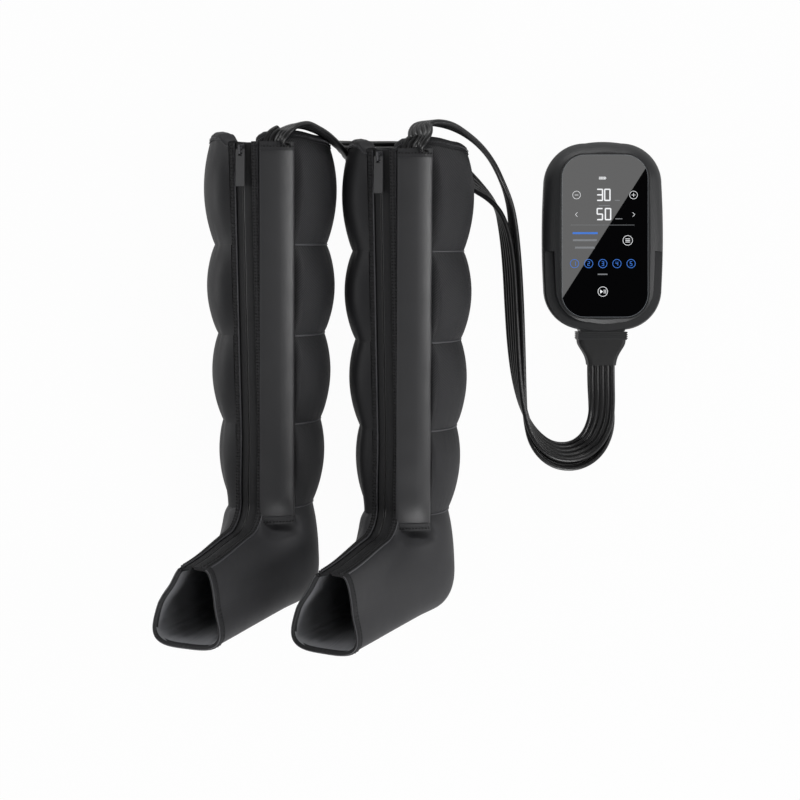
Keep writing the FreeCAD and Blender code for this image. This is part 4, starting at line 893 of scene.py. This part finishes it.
def chamber(hand, index):
    frame = leg_frame(hand)
    high = WELDS[index][0]
    low = WELDS[index + 1][0]
    rows = 36
    # the rows lie closer together beside the welds, where the cloth bends most
    heights = [blend(low + 0.03, high - 0.03, row / rows - 0.06 * math.sin(2 * math.pi * row / rows))
               for row in range(rows + 1)]
    inner = heights[::6]
    dots = []
    spots = []
    turns = round_leg((high + low) / 2, ROUND_STEPS)
    for turn in turns:
        signed, way = leg_way(turn)
        dip = rim_dip(signed) if index == 0 else 0.0
        skins = [(height, leg_skin(index, signed, height)) for height in heights]
        skins += [(height, bore(height) + 0.4) for height in reversed(inner)]
        for place, (height, radius) in enumerate(skins):
            spot = way * radius
            spot.z = height - dip * soft_step(height, high - 70, high)
            spot = frame @ spot
            dots.append(settle(spot) if place <= rows else spot)
            spots.append((turn * LEG_RADIUS * MM, height * MM))
    count = len(skins)
    name = "%s_chamber_%d" % (hand, index + 1)
    piece = closed_skin(name + "_cloth", dots, len(turns), PLAIN_NYLON, spots)
    piece.data.materials.append(TWILL_NYLON)
    for face in piece.data.polygons[:ROUND_STEPS * count]:
        if SLEEVE_ANGLE < turns[face.index // count] < TWILL_TO:
            face.material_index = 1
    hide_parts(name)


def weld_seam(hand, index):
    """The flat pressed strip where two chambers are welded, on the side beyond the sleeve. Its pale finish is
    a painted highlight along the weld.
    """
    frame = leg_frame(hand)
    height, weld_radius, _ = WELDS[index]
    turns = spaced(SLEEVE_ANGLE + 0.2, TWILL_TO, 80)
    dots = []
    for turn in turns:
        way = leg_way(turn)[1]
        radius = min(leg_skin(index - 1, turn, height + 0.1), weld_radius + 2)
        for out, rise in ((0.2, 1.3), (1.2, 0.5), (1.2, -0.5), (0.2, -1.3), (-1.5, 0)):
            dots.append(settle(frame @ (way * (radius + out) + Vector((0, 0, height + rise)))))
    piece = closed_skin("%s_weld_seam_%d" % (hand, index), dots, len(turns), PAINTED_EDGE_HIGHLIGHT)


for hand in BOOTS:
    for index in range(4):
        chamber(hand, index)
        weld_seam(hand, index + 1)
print("8 leg chambers")

# %% [markdown]
# The fifth chamber is the foot. Its sections lean from the ankle forward to the open toes;
# each is an egg, squarer at the sole the nearer it lies to the toes. Between the given
# sections the form is a smooth curve, so the instep and the heel are round.

# %% The foot chamber's sections
# each: heel or sole point and instep point as (forward, up), half width, pinch of the instep
FOOT_SECTIONS = [
    ((54, 100), (-64.3, 125.4), 59.0, 0.02),
    ((55, 60), (-72.3, 114.8), 61.5, 0.06),
    ((49, 20), (-85, 108.2), 61.5, 0.12),
    ((19.8, 0), (-106.8, 103), 58.0, 0.18),
    ((-50.4, 0), (-140.7, 97.4), 52.5, 0.26),
    ((-136.4, -1.5), (-177.4, 94.0), 45.5, 0.32),
    ((-219.0, -3.0), (-217.0, 90.5), 42.5, 0.34),
]
WALLS = [13, 13, 14, 14, 13, 12, 9, 3.4]


def foot_stations(hand):
    """The sections as (back, front, half width, pinch), the first one on the ankle's weld."""
    to_foot = foot_frame(hand).inverted() @ leg_frame(hand)
    weld_back = to_foot @ Vector((0, 53, ANKLE))
    weld_front = to_foot @ Vector((0, -58.2, ANKLE))
    rows = [(weld_back, weld_front, 53.0, 0.0)]
    for back, front, half, pinch in FOOT_SECTIONS:
        rows.append((Vector((0, back[0], back[1])), Vector((0, front[0], front[1])), half, pinch))
    return rows


def between(rows, spot):
    """A section at any place along the rows, on a smooth curve through them."""
    index = min(int(spot), len(rows) - 2)
    share = spot - index
    picks = [rows[max(0, min(len(rows) - 1, index + shift))] for shift in (-1, 0, 1, 2)]

    def mix(values):
        a, b, c, d = values
        slope_b = (c - a) * 0.5
        slope_c = (d - b) * 0.5
        square = share * share
        cube = square * share
        return (b * (2 * cube - 3 * square + 1) + slope_b * (cube - 2 * square + share)
                + c * (3 * square - 2 * cube) + slope_c * (cube - square))

    return tuple(mix([pick[part] for pick in picks]) for part in range(4))


def foot_point(section, turn, inset=0.0):
    """A point of a section; turn 0 is the instep, a half turn is the sole."""
    back, front, half, pinch = section
    rise = (front - back) / 2
    rise = rise * ((rise.length - inset) / rise.length)
    level = math.cos(turn)
    power = 2 / (2 + pinch * (4.2 if level < 0 else 0.8))
    level = math.copysign(abs(level) ** power, level)
    across = math.copysign(abs(math.sin(turn)) ** power, math.sin(turn))
    across = across * (half - inset) * (1 - pinch * level - pinch * 0.25)
    middle = (back + front) / 2
    swing = 6.0 * soft_step(-middle.y, 60, 215)
    return middle + rise * level + Vector((across + swing, 0, 0))


# %% [markdown]
# The foot's cloth is drawn to the zip's band along the instep and pressed flat where the
# sleeve's lower end lies on it. Its inner side is a loose lining with soft folds.

# %% The two foot chambers
# the sleeve presses the cloth fully above the first range's end and behind the second's start
PRESSED_HEIGHTS = (98, 114)
PRESSED_FRONT = (60, 78)
FOOT_ROWS = 64
FOOT_COLUMNS = 120


def nearest_on_zip(places, point):
    """The zip's place nearest to a point of the leg's frame, seen from the side."""
    return min(places, key=lambda place: (place[0].y - point.y) ** 2 + (place[0].z - point.z) ** 2)


def foot_skin(to_leg, places, section, turn, inset, sink):
    """A point of the foot's skin in the leg's frame, drawn to the zip's band at the instep."""
    point = to_leg @ foot_point(section, turn, inset)
    upper = max(0, math.cos(turn))
    if upper > 0:
        place, way, out, instep = nearest_on_zip(places, point)
        point.x += place.x * upper
        across = point.x - place.x
        depth = (point - place).dot(out) + sink - zip_lift(across, instep)
        edge = zip_edge(across)
        point -= out * (depth * (1 - soft_step(abs(across), edge - 1, edge + 16)))
    return press_under_sleeve(point, inset)


def press_under_sleeve(point, inset):
    """Flattens the top of the foot where the hose sleeve's lower end lies on it."""
    from_sleeve = math.atan2(point.x, -point.y) - SLEEVE_ANGLE
    beside = soft_step(abs(from_sleeve) * INSTEP_RADIUS, SLEEVE_FAR, SLEEVE_FAR + 24)
    covered = soft_step(point.z, *PRESSED_HEIGHTS) * (1 - beside)
    covered *= soft_step(point.x, ZIP_RIGHT - 2, ZIP_RIGHT + 5) * (1 - soft_step(-point.y, *PRESSED_FRONT))
    if covered > 0:
        radius = math.hypot(point.x, point.y)
        floor = (sleeve_floor(point.z) - 0.8 - inset) / math.cos(from_sleeve)
        share = blend(1, min(1, floor / radius), covered)
        point.x *= share
        point.y *= share
    return point


def foot_edge(to_leg, places, section, side):
    """The turn at which the skin meets the zip's edge on one side."""
    turn = 0.03
    while turn < 1.5:
        point = foot_skin(to_leg, places, section, turn * side, 0, 0)
        place = nearest_on_zip(places, point)[0]
        across = (point.x - place.x) * side
        if across > zip_edge(side) - 1:
            return turn
        turn += 0.01
    return turn


def foot_chamber(hand):
    frame = leg_frame(hand)
    to_leg = frame.inverted() @ foot_frame(hand)
    places = zip_line(hand, step=3.0)
    stations = foot_stations(hand)
    rows = FOOT_ROWS
    around = FOOT_COLUMNS
    dots = []
    spots = []
    for row in range(rows + 1):
        along = row / rows * (len(stations) - 1)
        section = between(stations, along)
        index = min(int(along), 6)
        wall = blend(WALLS[index], WALLS[index + 1], along - index)
        low = foot_edge(to_leg, places, section, 1)
        high = 2 * math.pi - foot_edge(to_leg, places, section, -1)
        ring = spaced(low, high, around)
        for turn in ring:
            dots.append(settle(frame @ foot_skin(to_leg, places, section, turn, 0, 0)))
        for turn in reversed(ring):
            fold = ripple(turn * 5 + along * 1.3, turn * 9 - along * 2.1, turn * 3 + along)
            deep = 2.6 * fold * soft_step(along, 1.0, 3.0) * math.sin(turn / 2) ** 2
            deep *= 1 - soft_step(along, 6.5, 7.0)
            dots.append(settle(frame @ foot_skin(to_leg, places, section, turn, wall + deep, 2.4), 2.0))
        for step in list(range(around + 1)) + list(range(around, -1, -1)):
            spots.append((step / around * 0.3, along * 0.04))
    count = 2 * (around + 1)
    # the foot's outside is painted lighter than the same cloth of the chambers: painted light
    piece = closed_skin(hand + "_foot_cloth", dots, rows + 1, FOOT_NYLON_PAINTED_LIGHT, spots)
    # the foot's lining is painted light too, lighter than the lining is
    piece.data.materials.append(LINING_PAINTED_LIGHT)
    for face in piece.data.polygons[:rows * count]:
        if face.index % count > around:
            face.material_index = 1
    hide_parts(hand + "_foot_chamber")
    last = rows * count
    return dots[last - count:last - count + around + 1], dots[last:last + around + 1]


TOE_EDGES = {hand: foot_chamber(hand) for hand in BOOTS}

# %% [markdown]
# A folded tape binds the toe opening: it covers 7 mm of the outside, rounds the edge and
# turns in. One row of stitches holds it, 4.6 mm back from the edge.

# %% Toe bindings
STITCH_LINE = 4.6
# the tape's section: (back from the edge, out of the cloth)
TOE_FOLD = [(7.5, -0.6), (7.4, 0.9), (5.6, 1.4), (STITCH_LINE, 1.05), (3.6, 1.4), (0.5, 1.5), (-1.6, 0.9),
            (-2.6, -0.8), (-2.2, -2.2), (-0.4, -3.6), (3.0, -4.3), (3.0, -3.4)]


def toe_binding(hand):
    behind, edge = TOE_EDGES[hand]
    frame = foot_frame(hand)
    back = (frame.to_3x3() @ Vector((0, 1, 0))).normalized()
    centre = frame @ Vector((0, -FOOT_LENGTH, TOE_HEIGHT * 0.45))
    dots = []
    line = []
    lifts = []
    spots = []
    bead = []
    for index, spot in enumerate(edge):
        near = edge[max(0, index - 1)]
        far = edge[min(len(edge) - 1, index + 1)]
        out = (far - near).cross(back).normalized()
        if out.dot(spot - centre) < 0:
            out = -out
        lean = (behind[index] - spot).normalized()
        for run, rise in TOE_FOLD:
            dots.append(settle(spot + lean * run + out * rise, 0.15))
            spots.append((run * MM, index * 0.002))
        for turn in range(6):
            angle = math.pi * turn / 3
            middle = spot - lean * 2.1 - out * 0.3
            bead.append(middle + lean * math.cos(angle) * 0.7 + out * math.sin(angle) * 0.7)
        line.append(spot + lean * STITCH_LINE + out * 0.8)
        lifts.append(out)
    # the toe tape is painted darker than the rim's tape: painted shade
    piece = closed_skin(hand + "_toe_tape", dots, len(edge), TOE_TAPE_PAINTED_SHADE, spots)
    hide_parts(hand + "_toe_binding")
    # the pale bead along the toe tape's fold is a painted highlight
    lip = closed_skin(hand + "_toe_fold", bead, len(edge), PAINTED_EDGE_HIGHLIGHT)
    add_thread(hand + "_toe_stitches", [(line, lifts)], thick=0.8, **MACHINE_STITCH)


def add_thread(name, rows, finish=THREAD, **settings):
    """One piece with every stitch of some rows; each row is (line, ways out)."""
    dots = []
    faces = []
    for line, lifts in rows:
        stitch_row(dots, faces, line, lifts, **settings)
    piece = make_piece(name, dots, faces, finish)


for hand in BOOTS:
    toe_binding(hand)

# %% [markdown]
# The rim is bound the same way, with a slanted stitch in a paler thread. The tape follows
# the rim's humps and its dip beside the zip.

# %% Rim bindings
def rim_binding(hand):
    frame = leg_frame(hand)
    turns = round_leg(RIM, 150)
    inner = WELDS[0][2]
    dots = []
    spots = []
    line = []
    lifts = []
    for turn in turns:
        signed, way = leg_way(turn)
        outer = leg_skin(0, signed, RIM)
        lower = leg_skin(0, signed, RIM - 8)
        top = RIM - rim_dip(signed)
        shape = [(lower + 0.2, -8), (lower + 1.2, -7.6), (outer + 1.5, -3), (outer + 1.3, 0.4),
                 (outer - 1.2, 2.6), ((outer + inner) / 2, 3.6), (inner + 2, 2.6), (inner - 0.8, 0),
                 (inner - 1, -6), (inner + 0.2, -6)]
        for radius, rise in shape:
            dots.append(settle(frame @ (way * radius + Vector((0, 0, top + rise)))))
            spots.append((rise * MM, turn * LEG_RADIUS * MM))
        line.append(frame @ (way * ((outer + lower) / 2 + 1.35) + Vector((0, 0, top - 3.8))))
        lifts.append(frame.to_3x3() @ way)
    piece = closed_skin(hand + "_rim_tape", dots, len(turns), TAPE, spots)
    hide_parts(hand + "_rim_binding")
    add_thread(hand + "_rim_stitches", [(line, lifts)], PALE_THREAD, long=3.2, gap=-1.0, slant=1.4)


for hand in BOOTS:
    rim_binding(hand)

# %% [markdown]
# The zip has two woven tapes, a nylon coil on the inner edge of each, and two folded
# bindings over the tapes' outer edges. The coils' turns are 1.9 mm apart; each turn is a
# ridge across the coil. The two coils mesh along the middle.

# %% Tapes, bindings and coils of the zips
ROW_STEP = 0.002
COIL_PITCH = 1.9
COIL_THICK = 2.0
COIL_SEAT = -1.7
# each tape's section as (across, out), with a groove beside its binding
ZIP_TAPES = {
    "left": [(-16.5, -4.2), (-16.5, -0.6), (-11.6, -0.9), (-10.2, -3.2), (-8.8, -1.0), (-4.5, -0.4),
             (-1.7, -0.8), (-1.7, -4.2)],
    "right": [(1.7, -4.2), (1.7, -0.8), (4.5, -0.4), (9.5, -0.9), (12.4, -2.0), (14, -0.8),
              (20.5, -0.7), (20.5, -4.2)],
}


def swept(name, hand, section, places, finish):
    """A closed section carried along the zip's line as one piece."""
    frame = leg_frame(hand)
    dots = [settle(beside_zip(frame, place, across, rise)) for place in places for across, rise in section]
    spots = [(across * MM, row * ROW_STEP) for row in range(len(places)) for across, rise in section]
    piece = closed_skin(name, dots, len(places), finish, spots)
    return piece


def coil_strip(name, hand, left, right, places):
    """A coil: a flat oval strip with a ridge for each turn."""
    frame = leg_frame(hand)
    middle = (left + right) / 2
    half = (right - left) / 2
    dots = []
    for index, place in enumerate(places):
        grown = 1.0 if index % 2 else 0.72
        for turn in range(8):
            angle = 2 * math.pi * turn / 8
            across = middle + math.cos(angle) * half * (0.9 + 0.1 * grown)
            rise = COIL_SEAT + math.sin(angle) * COIL_THICK / 2 * grown
            dots.append(beside_zip(frame, place, across, rise))
    piece = closed_skin(name, dots, len(places), COIL_NYLON)
    return piece


def zip_fastener(hand):
    frame = leg_frame(hand)
    fine = zip_line(hand, 2.0, 9.0, 1.0)
    beside = {"left": zip_line(hand, 2.0, 10.0, 1.5), "right": zip_line(hand, 2.0, 8.0, 1.5)}
    tapes = [swept("%s_%s_zip_tape" % (hand, side), hand, section, fine, ZIP_TAPE)
             for side, section in ZIP_TAPES.items()]
    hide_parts(hand + "_zip_tapes")
    turns = zip_line(hand, COIL_PITCH / 2, 9.0, 0.5)
    coils = [coil_strip("%s_%s_coil" % (hand, side), hand, left, right, turns)
             for side, left, right in (("left", -2.6, -0.1), ("right", 0.1, 2.6))]
    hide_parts(hand + "_zip_coils")
    rows = []
    for side, left, right in (("left", ZIP_LEFT, -11.3), ("right", 13.2, ZIP_RIGHT)):
        places = beside[side]
        section = tape_section(left, right, 1.5)
        name = "%s_%s_zip_binding" % (hand, side)
        swept(name, hand, section, places, TAPE)
        for share in (0.24, 0.76):
            across = blend(left, right, share)
            line = [beside_zip(frame, place, across, 1.25) for place in places]
            rows.append((line, [frame.to_3x3() @ out for point, along, out, instep in places]))
    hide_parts(hand + "_zip_bindings")
    add_thread(hand + "_zip_stitches", rows, thick=1.5, **MACHINE_STITCH)
    # the pale beads along the bindings' folded edges are painted highlight
    for side, across in (("left", -11.0), ("right", ZIP_RIGHT + 0.2)):
        section = [(across - 0.5, -0.5), (across - 0.45, 0.9), (across, 1.35), (across + 0.45, 0.9),
                   (across + 0.5, -0.5)]
        swept("%s_%s_zip_fold" % (hand, side), hand, section, beside[side], PAINTED_EDGE_HIGHLIGHT)


for hand in BOOTS:
    zip_fastener(hand)

# %% [markdown]
# The hose sleeve is a strip of smooth cloth sewn down along both sides and arched over the
# hoses. Both its ends are hemmed: the cloth is folded once and stitched.

# %% Hose sleeves
SLEEVE_FOOT = -36.0


def sleeve_rise(across):
    """The sleeve's outer surface: it climbs from the zip over the hoses and rounds off beyond."""
    if across < -4:
        return 7.4 * math.sqrt(max(0.0, 1 - ((across + 4) / 18.3) ** 2)) - 0.4
    drop = 0.4 * soft_step(across, SLEEVE_NEAR - 2.5, SLEEVE_NEAR)
    return 7.0 - 3.8 * ((across + 4) / (SLEEVE_NEAR + 4)) ** 1.4 - drop


def sleeve_surface(across, height):
    """The sleeve's outer surface. Beyond the last hose it is sewn down flat."""
    rise = sleeve_rise(across)
    closed = blend(0.3, 1.0, soft_step(height, SLEEVE_FOOT + 4, -2))
    return min(rise, 3.2) + max(0.0, rise - 3.2) * closed


def sleeve_stretch(name, hand, low, high, lift, thick, finish, node=None):
    """A length of the arched cloth between two places on the sleeve's line."""
    frame = sleeve_frame(hand)
    rows = max(2, int((high - low) / 6))
    dots = []
    spots = []
    for height in spaced(low, high, rows):
        sag = 0.5 * ripple(height * 0.021, height * 0.043) + lift
        line = spaced(-SLEEVE_FAR, SLEEVE_NEAR, 40)
        upper = [(across, 0.0) for across in line]
        under = [(across, blend(thick, 0.35, soft_step(across, SLEEVE_NEAR - 4, SLEEVE_NEAR)))
                 for across in reversed(line)]
        for across, depth in upper + under:
            dots.append(frame @ Vector((across, sleeve_surface(across, height) + sag - depth, height)))
            spots.append((across * MM, height * MM))
    piece = closed_skin(name, dots, rows + 1, finish, spots)
    if node:
        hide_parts(node)


def sleeve_stitches(name, hand, height):
    frame = sleeve_frame(hand)
    line = [frame @ Vector((across, sleeve_surface(across, height) + 1.1, height))
            for across in range(-21, 22)]
    out = frame.to_3x3() @ Vector((0, 1, 0))
    add_thread(name, [(line, [out] * len(line))], thick=1.3, **MACHINE_STITCH)


for hand in BOOTS:
    top = SLEEVE_LENGTH
    sleeve_stretch(hand + "_sleeve_cloth", hand, SLEEVE_FOOT, top, 0, 1.2, SLEEVE_CLOTH,
                   hand + "_hose_sleeve")
    sleeve_stretch(hand + "_sleeve_top_hem", hand, top - 10.5, top + 0.4, 1.0, 1.6, HEM_CLOTH)
    sleeve_stretch(hand + "_sleeve_low_hem", hand, SLEEVE_FOOT - 0.4, SLEEVE_FOOT + 9, 1.0, 1.6, HEM_CLOTH)
    sleeve_stitches(hand + "_top_hem_stitches", hand, top - 5.5)
    sleeve_stitches(hand + "_low_hem_stitches", hand, SLEEVE_FOOT + 3)
    # beside the sleeve, the cloth's raw edge is closed with a flat seam of slanted stitches
    frame = sleeve_frame(hand)
    seam = [frame @ Vector((-SLEEVE_FAR - 0.6, 0.2, height))
            for height in range(int(SLEEVE_FOOT), int(top), 4)]
    side = frame.to_3x3() @ Vector((-0.35, 1, 0)).normalized()
    add_thread(hand + "_sleeve_seam", [(seam, [side] * len(seam))], long=2.0, gap=0.4, slant=0.8)

# %% [markdown]
# The leg's lining hangs inside the chambers, loose enough to wrinkle.

# %% Leg linings
def leg_lining(hand):
    frame = leg_frame(hand)
    steps = 120
    rows = 90
    dots = []
    spots = []
    for turn in spaced(0.36, 2 * math.pi - 0.32, steps):
        signed, way = leg_way(turn)
        heights = spaced(ANKLE + 1, RIM - 3 - rim_dip(signed), rows)
        for inset, order in ((0.4, heights), (1.6, reversed(heights))):
            for height in order:
                loose = 0.9 * ripple(turn * 4 + height * 0.03, turn * 7 - height * 0.05, height * 0.11 + turn)
                radius = bore(height) - inset - max(0, 0.9 + loose)
                dots.append(frame @ (way * radius + Vector((0, 0, height))))
                spots.append((turn * LINING_RADIUS * MM, height * MM))
    # the lining's finish is painted light, lighter than the lining is
    piece = closed_skin(hand + "_leg_lining", dots, steps + 1, LINING_PAINTED_LIGHT, spots)
    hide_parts(hand + "_leg_liner")


for hand in BOOTS:
    leg_lining(hand)

# %% [markdown]
# Hard pieces keep the meshes of the construction. Each gets a finish for what it is made
# of: moulded shells have a fine spark-eroded grain, the trim is smoother, and rubber is dull.

# %% Finishes of the hard pieces
def dress(finish, *names):
    """Gives construction pieces their finish."""
    for name in names:
        node = NODES[name]
        node.data.materials.clear()
        node.data.materials.append(finish)


SHELL = plain_finish("spark_textured_abs", "1c1d1f", 0.48, 1400.0, 0.16)
TRIM = plain_finish("satin_abs", "161718", 0.3, 900.0, 0.05)
FITTING = plain_finish("black_nylon", "1c1c1d", 0.45, 700.0)
SENSOR = plain_finish("black_glass_filled_nylon", "242426", 0.55, 1100.0, 0.2)
FOOT_RUBBER = plain_finish("moulded_foot_rubber", "19191a", 0.8, 1200.0, 0.2)
SCREW = plain_finish("zinc_plated_steel", "b9bac0", 0.3, 800.0, 0.05, metal=1.0)
CAN = plain_finish("drawn_steel_can", "8f9094", 0.36, 500.0, 0.05, metal=1.0)
SLIDER_METAL = plain_finish("black_painted_zinc", "2e2e31", 0.4, 900.0, 0.05, metal=0.5)
PULL = plain_finish("satin_pull_plastic", "212123", 0.5, 800.0, 0.05)
WRAP = plain_finish("blue_shrink_wrap", "1f4f8c", 0.3, 260.0, 0.25)


def circuit_finish():
    """Green lacquer over copper: faint straight tracks show as a lighter green."""
    material, tree, shader = new_material("green_solder_mask", Roughness=0.3)
    place = add_node(tree, "ShaderNodeTexCoord")
    tracks = add_node(tree, "ShaderNodeTexBrick", [("Vector", place.outputs["Object"])], Scale=160.0,
                      Color1=linear("14502c"), Color2=linear("195a33"), Mortar=linear("2b7a48"))
    tree.links.new(tracks.outputs["Color"], shader.inputs["Base Color"])
    return material


def panel_glass():
    """Black printed glass: nearly a mirror at a slant, with a trace of touch marks."""
    material, tree, shader = new_material("black_printed_glass", Base_Color=linear("020203"), IOR=1.5)
    vary(tree, object_noise(tree, 35.0, 4.0), shader.inputs["Roughness"], 0.0, 0.015)
    return material


def diffuser():
    """Opal acrylic that spreads the light of the display."""
    material, tree, shader = new_material("opal_acrylic", Roughness=0.5, Subsurface_Weight=0.2)
    tone = mixed(tree, object_noise(tree, 300.0), linear("e8e8e4"), linear("f2f2ee"))
    tree.links.new(tone, shader.inputs["Base Color"])
    return material


dress(SHELL, "rear_shell", "front_shell", "plug_grip")
dress(TRIM, "panel_trim", "hose_socket", "power_inlet")
dress(panel_glass(), "touch_panel")
dress(diffuser(), "light_guide")
dress(circuit_finish(), "display_board", "main_board")
dress(SENSOR, "pressure_sensor", "air_pump")
dress(WRAP, "battery_pack")
dress(CAN, "pump_motor", "solenoid_valves")
dress(SCREW, "shell_screws")
dress(FOOT_RUBBER, "rubber_feet")
dress(FITTING, "valve_manifold", "plug_nozzles", "left_air_fittings", "right_air_fittings")
dress(ELASTOMER, "air_tubes", "left_inner_hoses", "right_inner_hoses")
dress(plain_finish("moulded_soft_pvc", "131314", 0.55, 1300.0, 0.15), "plug_boot")
dress(SLIDER_METAL, "left_zip_slider", "right_zip_slider")
dress(PULL, "left_pull_tab", "right_pull_tab")

# %% [markdown]
# The display is a set of signs lit from behind: white, grey and blue shapes on black
# glass. Each is a flat mesh 0.06 mm above the glass. Words are left out, so plain bars
# stand where a real panel has them.

# %% Signs of the display
GLASS_LOW, GLASS_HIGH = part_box("touch_panel")
PANEL_X = (GLASS_LOW.x + GLASS_HIGH.x) / 2 / MM
PANEL_Y = (GLASS_LOW.y + GLASS_HIGH.y) / 2 / MM
PANEL_TOP = GLASS_HIGH.z / MM + 0.06
HIGHLIGHT_LINE_WIDTH = 0.5


def lit_ink(name, colour, strength):
    """Ink with light behind it: an even glow, a little uneven like a light guide."""
    material, tree, shader = new_material(
        name, Base_Color=linear("0a0a0a"), Roughness=0.3, Emission_Color=linear(colour))
    vary(tree, object_noise(tree, 60.0), shader.inputs["Emission Strength"], strength * 0.88, strength * 1.08)
    return material


WHITE_INK = lit_ink("white_backlit_ink", "f4f6f8", 1.0)
GREY_INK = lit_ink("grey_backlit_ink", "8b8e92", 0.7)
BLUE_INK = lit_ink("blue_backlit_ink", "2f74d6", 0.95)


class Sign:
    """Flat shapes in one ink, gathered into one piece on the glass."""

    def __init__(self):
        self.dots = []
        self.faces = []

    def patch(self, corners):
        first = len(self.dots)
        self.dots += [(PANEL_X + x, PANEL_Y + y, PANEL_TOP) for x, y in corners]
        self.faces.append(tuple(range(first, len(self.dots))))

    def bar(self, x, y, wide, tall, slant=0.0):
        """A bar round its middle."""
        lean = tall / 2 * slant
        self.patch([(x - wide / 2 - lean, y - tall / 2), (x + wide / 2 - lean, y - tall / 2),
                    (x + wide / 2 + lean, y + tall / 2), (x - wide / 2 + lean, y + tall / 2)])

    def ring(self, x, y, radius, thick, start=0, end=360):
        steps = max(4, int((end - start) / 7.5))
        for step in range(steps):
            a, b = (math.radians(blend(start, end, (step + more) / steps)) for more in (0, 1))
            inner = radius - thick
            self.patch([(x + math.cos(turn) * size, y + math.sin(turn) * size)
                        for turn, size in ((a, radius), (b, radius), (b, inner), (a, inner))])

    def frame(self, x, y, wide, tall, thick):
        for side in (-1, 1):
            self.bar(x, y + side * (tall - thick) / 2, wide, thick)
            self.bar(x + side * (wide - thick) / 2, y, thick, tall - 2 * thick)

    def digit(self, x, y, tall, which, thick):
        """A digit of seven segments; x and y are its middle."""
        wide = tall * 0.53
        lit = {"0": "abcdef", "1": "bc", "2": "abged", "3": "abgcd", "4": "fgbc", "5": "afgcd"}[which]
        half = tall / 2 - thick / 2
        side = wide / 2 - thick / 2
        spots = {"a": (0, half, 1), "g": (0, 0, 1), "d": (0, -half, 1), "b": (side, half / 2, 0),
                 "c": (side, -half / 2, 0), "f": (-side, half / 2, 0), "e": (-side, -half / 2, 0)}
        for segment in lit:
            dx, dy, flat = spots[segment]
            long = wide - thick * 0.9 if flat else half
            self.bar(x + dx, y + dy, long if flat else thick, thick if flat else long)

    def place(self, name, ink):
        piece = make_piece(name, self.dots, self.faces, ink, body="pump", flat=True)


white, grey, blue = Sign(), Sign(), Sign()

# battery level: an outline, its cap and four cells
white.frame(-3.7, 76.3, 8.6, 3.5, 0.5)
white.bar(1.1, 76.3, 0.7, 1.6)
for cell in range(4):
    white.bar(-6.5 + cell * 1.85, 76.3, 1.3, 1.9)

# two numbers, minutes above and pressure below, each with its short unit as a bar
for x, which in ((-6.9, "3"), (3.0, "0")):
    white.digit(x, 54.2, 16.3, which, 1.7)
for x, which in ((-6.9, "5"), (3.9, "0")):
    white.digit(x, 28.8, 16.3, which, 1.7)
grey.bar(16.2, 46.9, 6.6, 1.1)
grey.bar(18.2, 22.6, 9.2, 1.1)
grey.bar(-1.0, 40.0, 15.0, 1.0)

# touch keys beside the numbers: less and more, weaker and stronger
for side in (-1, 1):
    x = side * 37.6
    white.ring(x, 54.0, 5.4, 0.55)
    white.bar(x, 54.0, 5.0, 0.6)
    for half in (-1, 1):
        white.bar(x + side * 0.2, 28.2 + half * 1.35, 0.7, 3.0, -half * side * 0.95)
white.bar(37.6, 54.0, 0.6, 5.0)
grey.bar(-3.2, 14.4, 84.0, 0.45)

# three programme names as bars, the chosen one in blue, and a key with a list sign
blue.bar(-26.3, 3.7, 33.0, 2.6)
grey.bar(-26.6, -5.6, 31.5, 2.6)
grey.bar(-26.7, -15.4, 26.0, 2.6)
white.ring(29.9, -5.9, 6.6, 0.6)
for line in (-1, 0, 1):
    white.bar(29.9, -5.9 + line * 2.1, 6.0, 0.85)

# five chamber keys in a row, numbered, with a bar below
for index in range(5):
    x = -40.3 + index * 18.65
    blue.ring(x, -36.5, 5.9, 0.75)
    blue.digit(x, -36.5, 6.0, str(index + 1), 0.7)
grey.bar(-3.3, -50.6, 12.9, 1.6)

# start and pause: a ring with a triangle and two strokes
white.ring(-3.0, -73.4, 6.6, 0.65)
white.patch([(-6.4, -76.0), (-2.7, -73.4), (-6.4, -70.8)])
white.bar(-1.2, -73.4, 0.75, 5.0)
white.bar(0.9, -73.4, 0.75, 5.0)

# the thin pale line round the glass is a painted highlight along its polished edge
edge = Sign()
half_wide = (GLASS_HIGH.x - GLASS_LOW.x) / 2 / MM
half_long = (GLASS_HIGH.y - GLASS_LOW.y) / 2 / MM
GLASS_CORNER = 31.0
for side in (-1, 1):
    edge.bar(side * (half_wide - HIGHLIGHT_LINE_WIDTH), 0, HIGHLIGHT_LINE_WIDTH, 2 * (half_long - GLASS_CORNER))
    edge.bar(0, side * (half_long - HIGHLIGHT_LINE_WIDTH), 2 * (half_wide - GLASS_CORNER), HIGHLIGHT_LINE_WIDTH)
for quarter, (right, up) in enumerate(((1, 1), (-1, 1), (-1, -1), (1, -1))):
    edge.ring(right * (half_wide - GLASS_CORNER), up * (half_long - GLASS_CORNER),
              GLASS_CORNER - HIGHLIGHT_LINE_WIDTH / 2, HIGHLIGHT_LINE_WIDTH, quarter * 90, quarter * 90 + 90)
# a painted highlight: pale colour where the glass's edge catches light
edge.place("glass_edge_highlight_line", plain_finish("glass_edge_painted_highlight", "6c7075", 0.25, 900.0, 0.02))

white.place("white_display_signs", WHITE_INK)
grey.place("grey_display_signs", GREY_INK)
blue.place("blue_display_signs", BLUE_INK)
print("display signs on the glass, %.1f mm high" % PANEL_TOP)

# %% [markdown]
# The last cell notes both boxes, so that the dressed model can be held against the
# construction, and hands everything over.

# %% Finish
boxes = {"construction": CAD_BOX, "dressed": [list(map(float, corner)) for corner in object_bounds()]}
print("dressed box in metres:", boxes["dressed"])
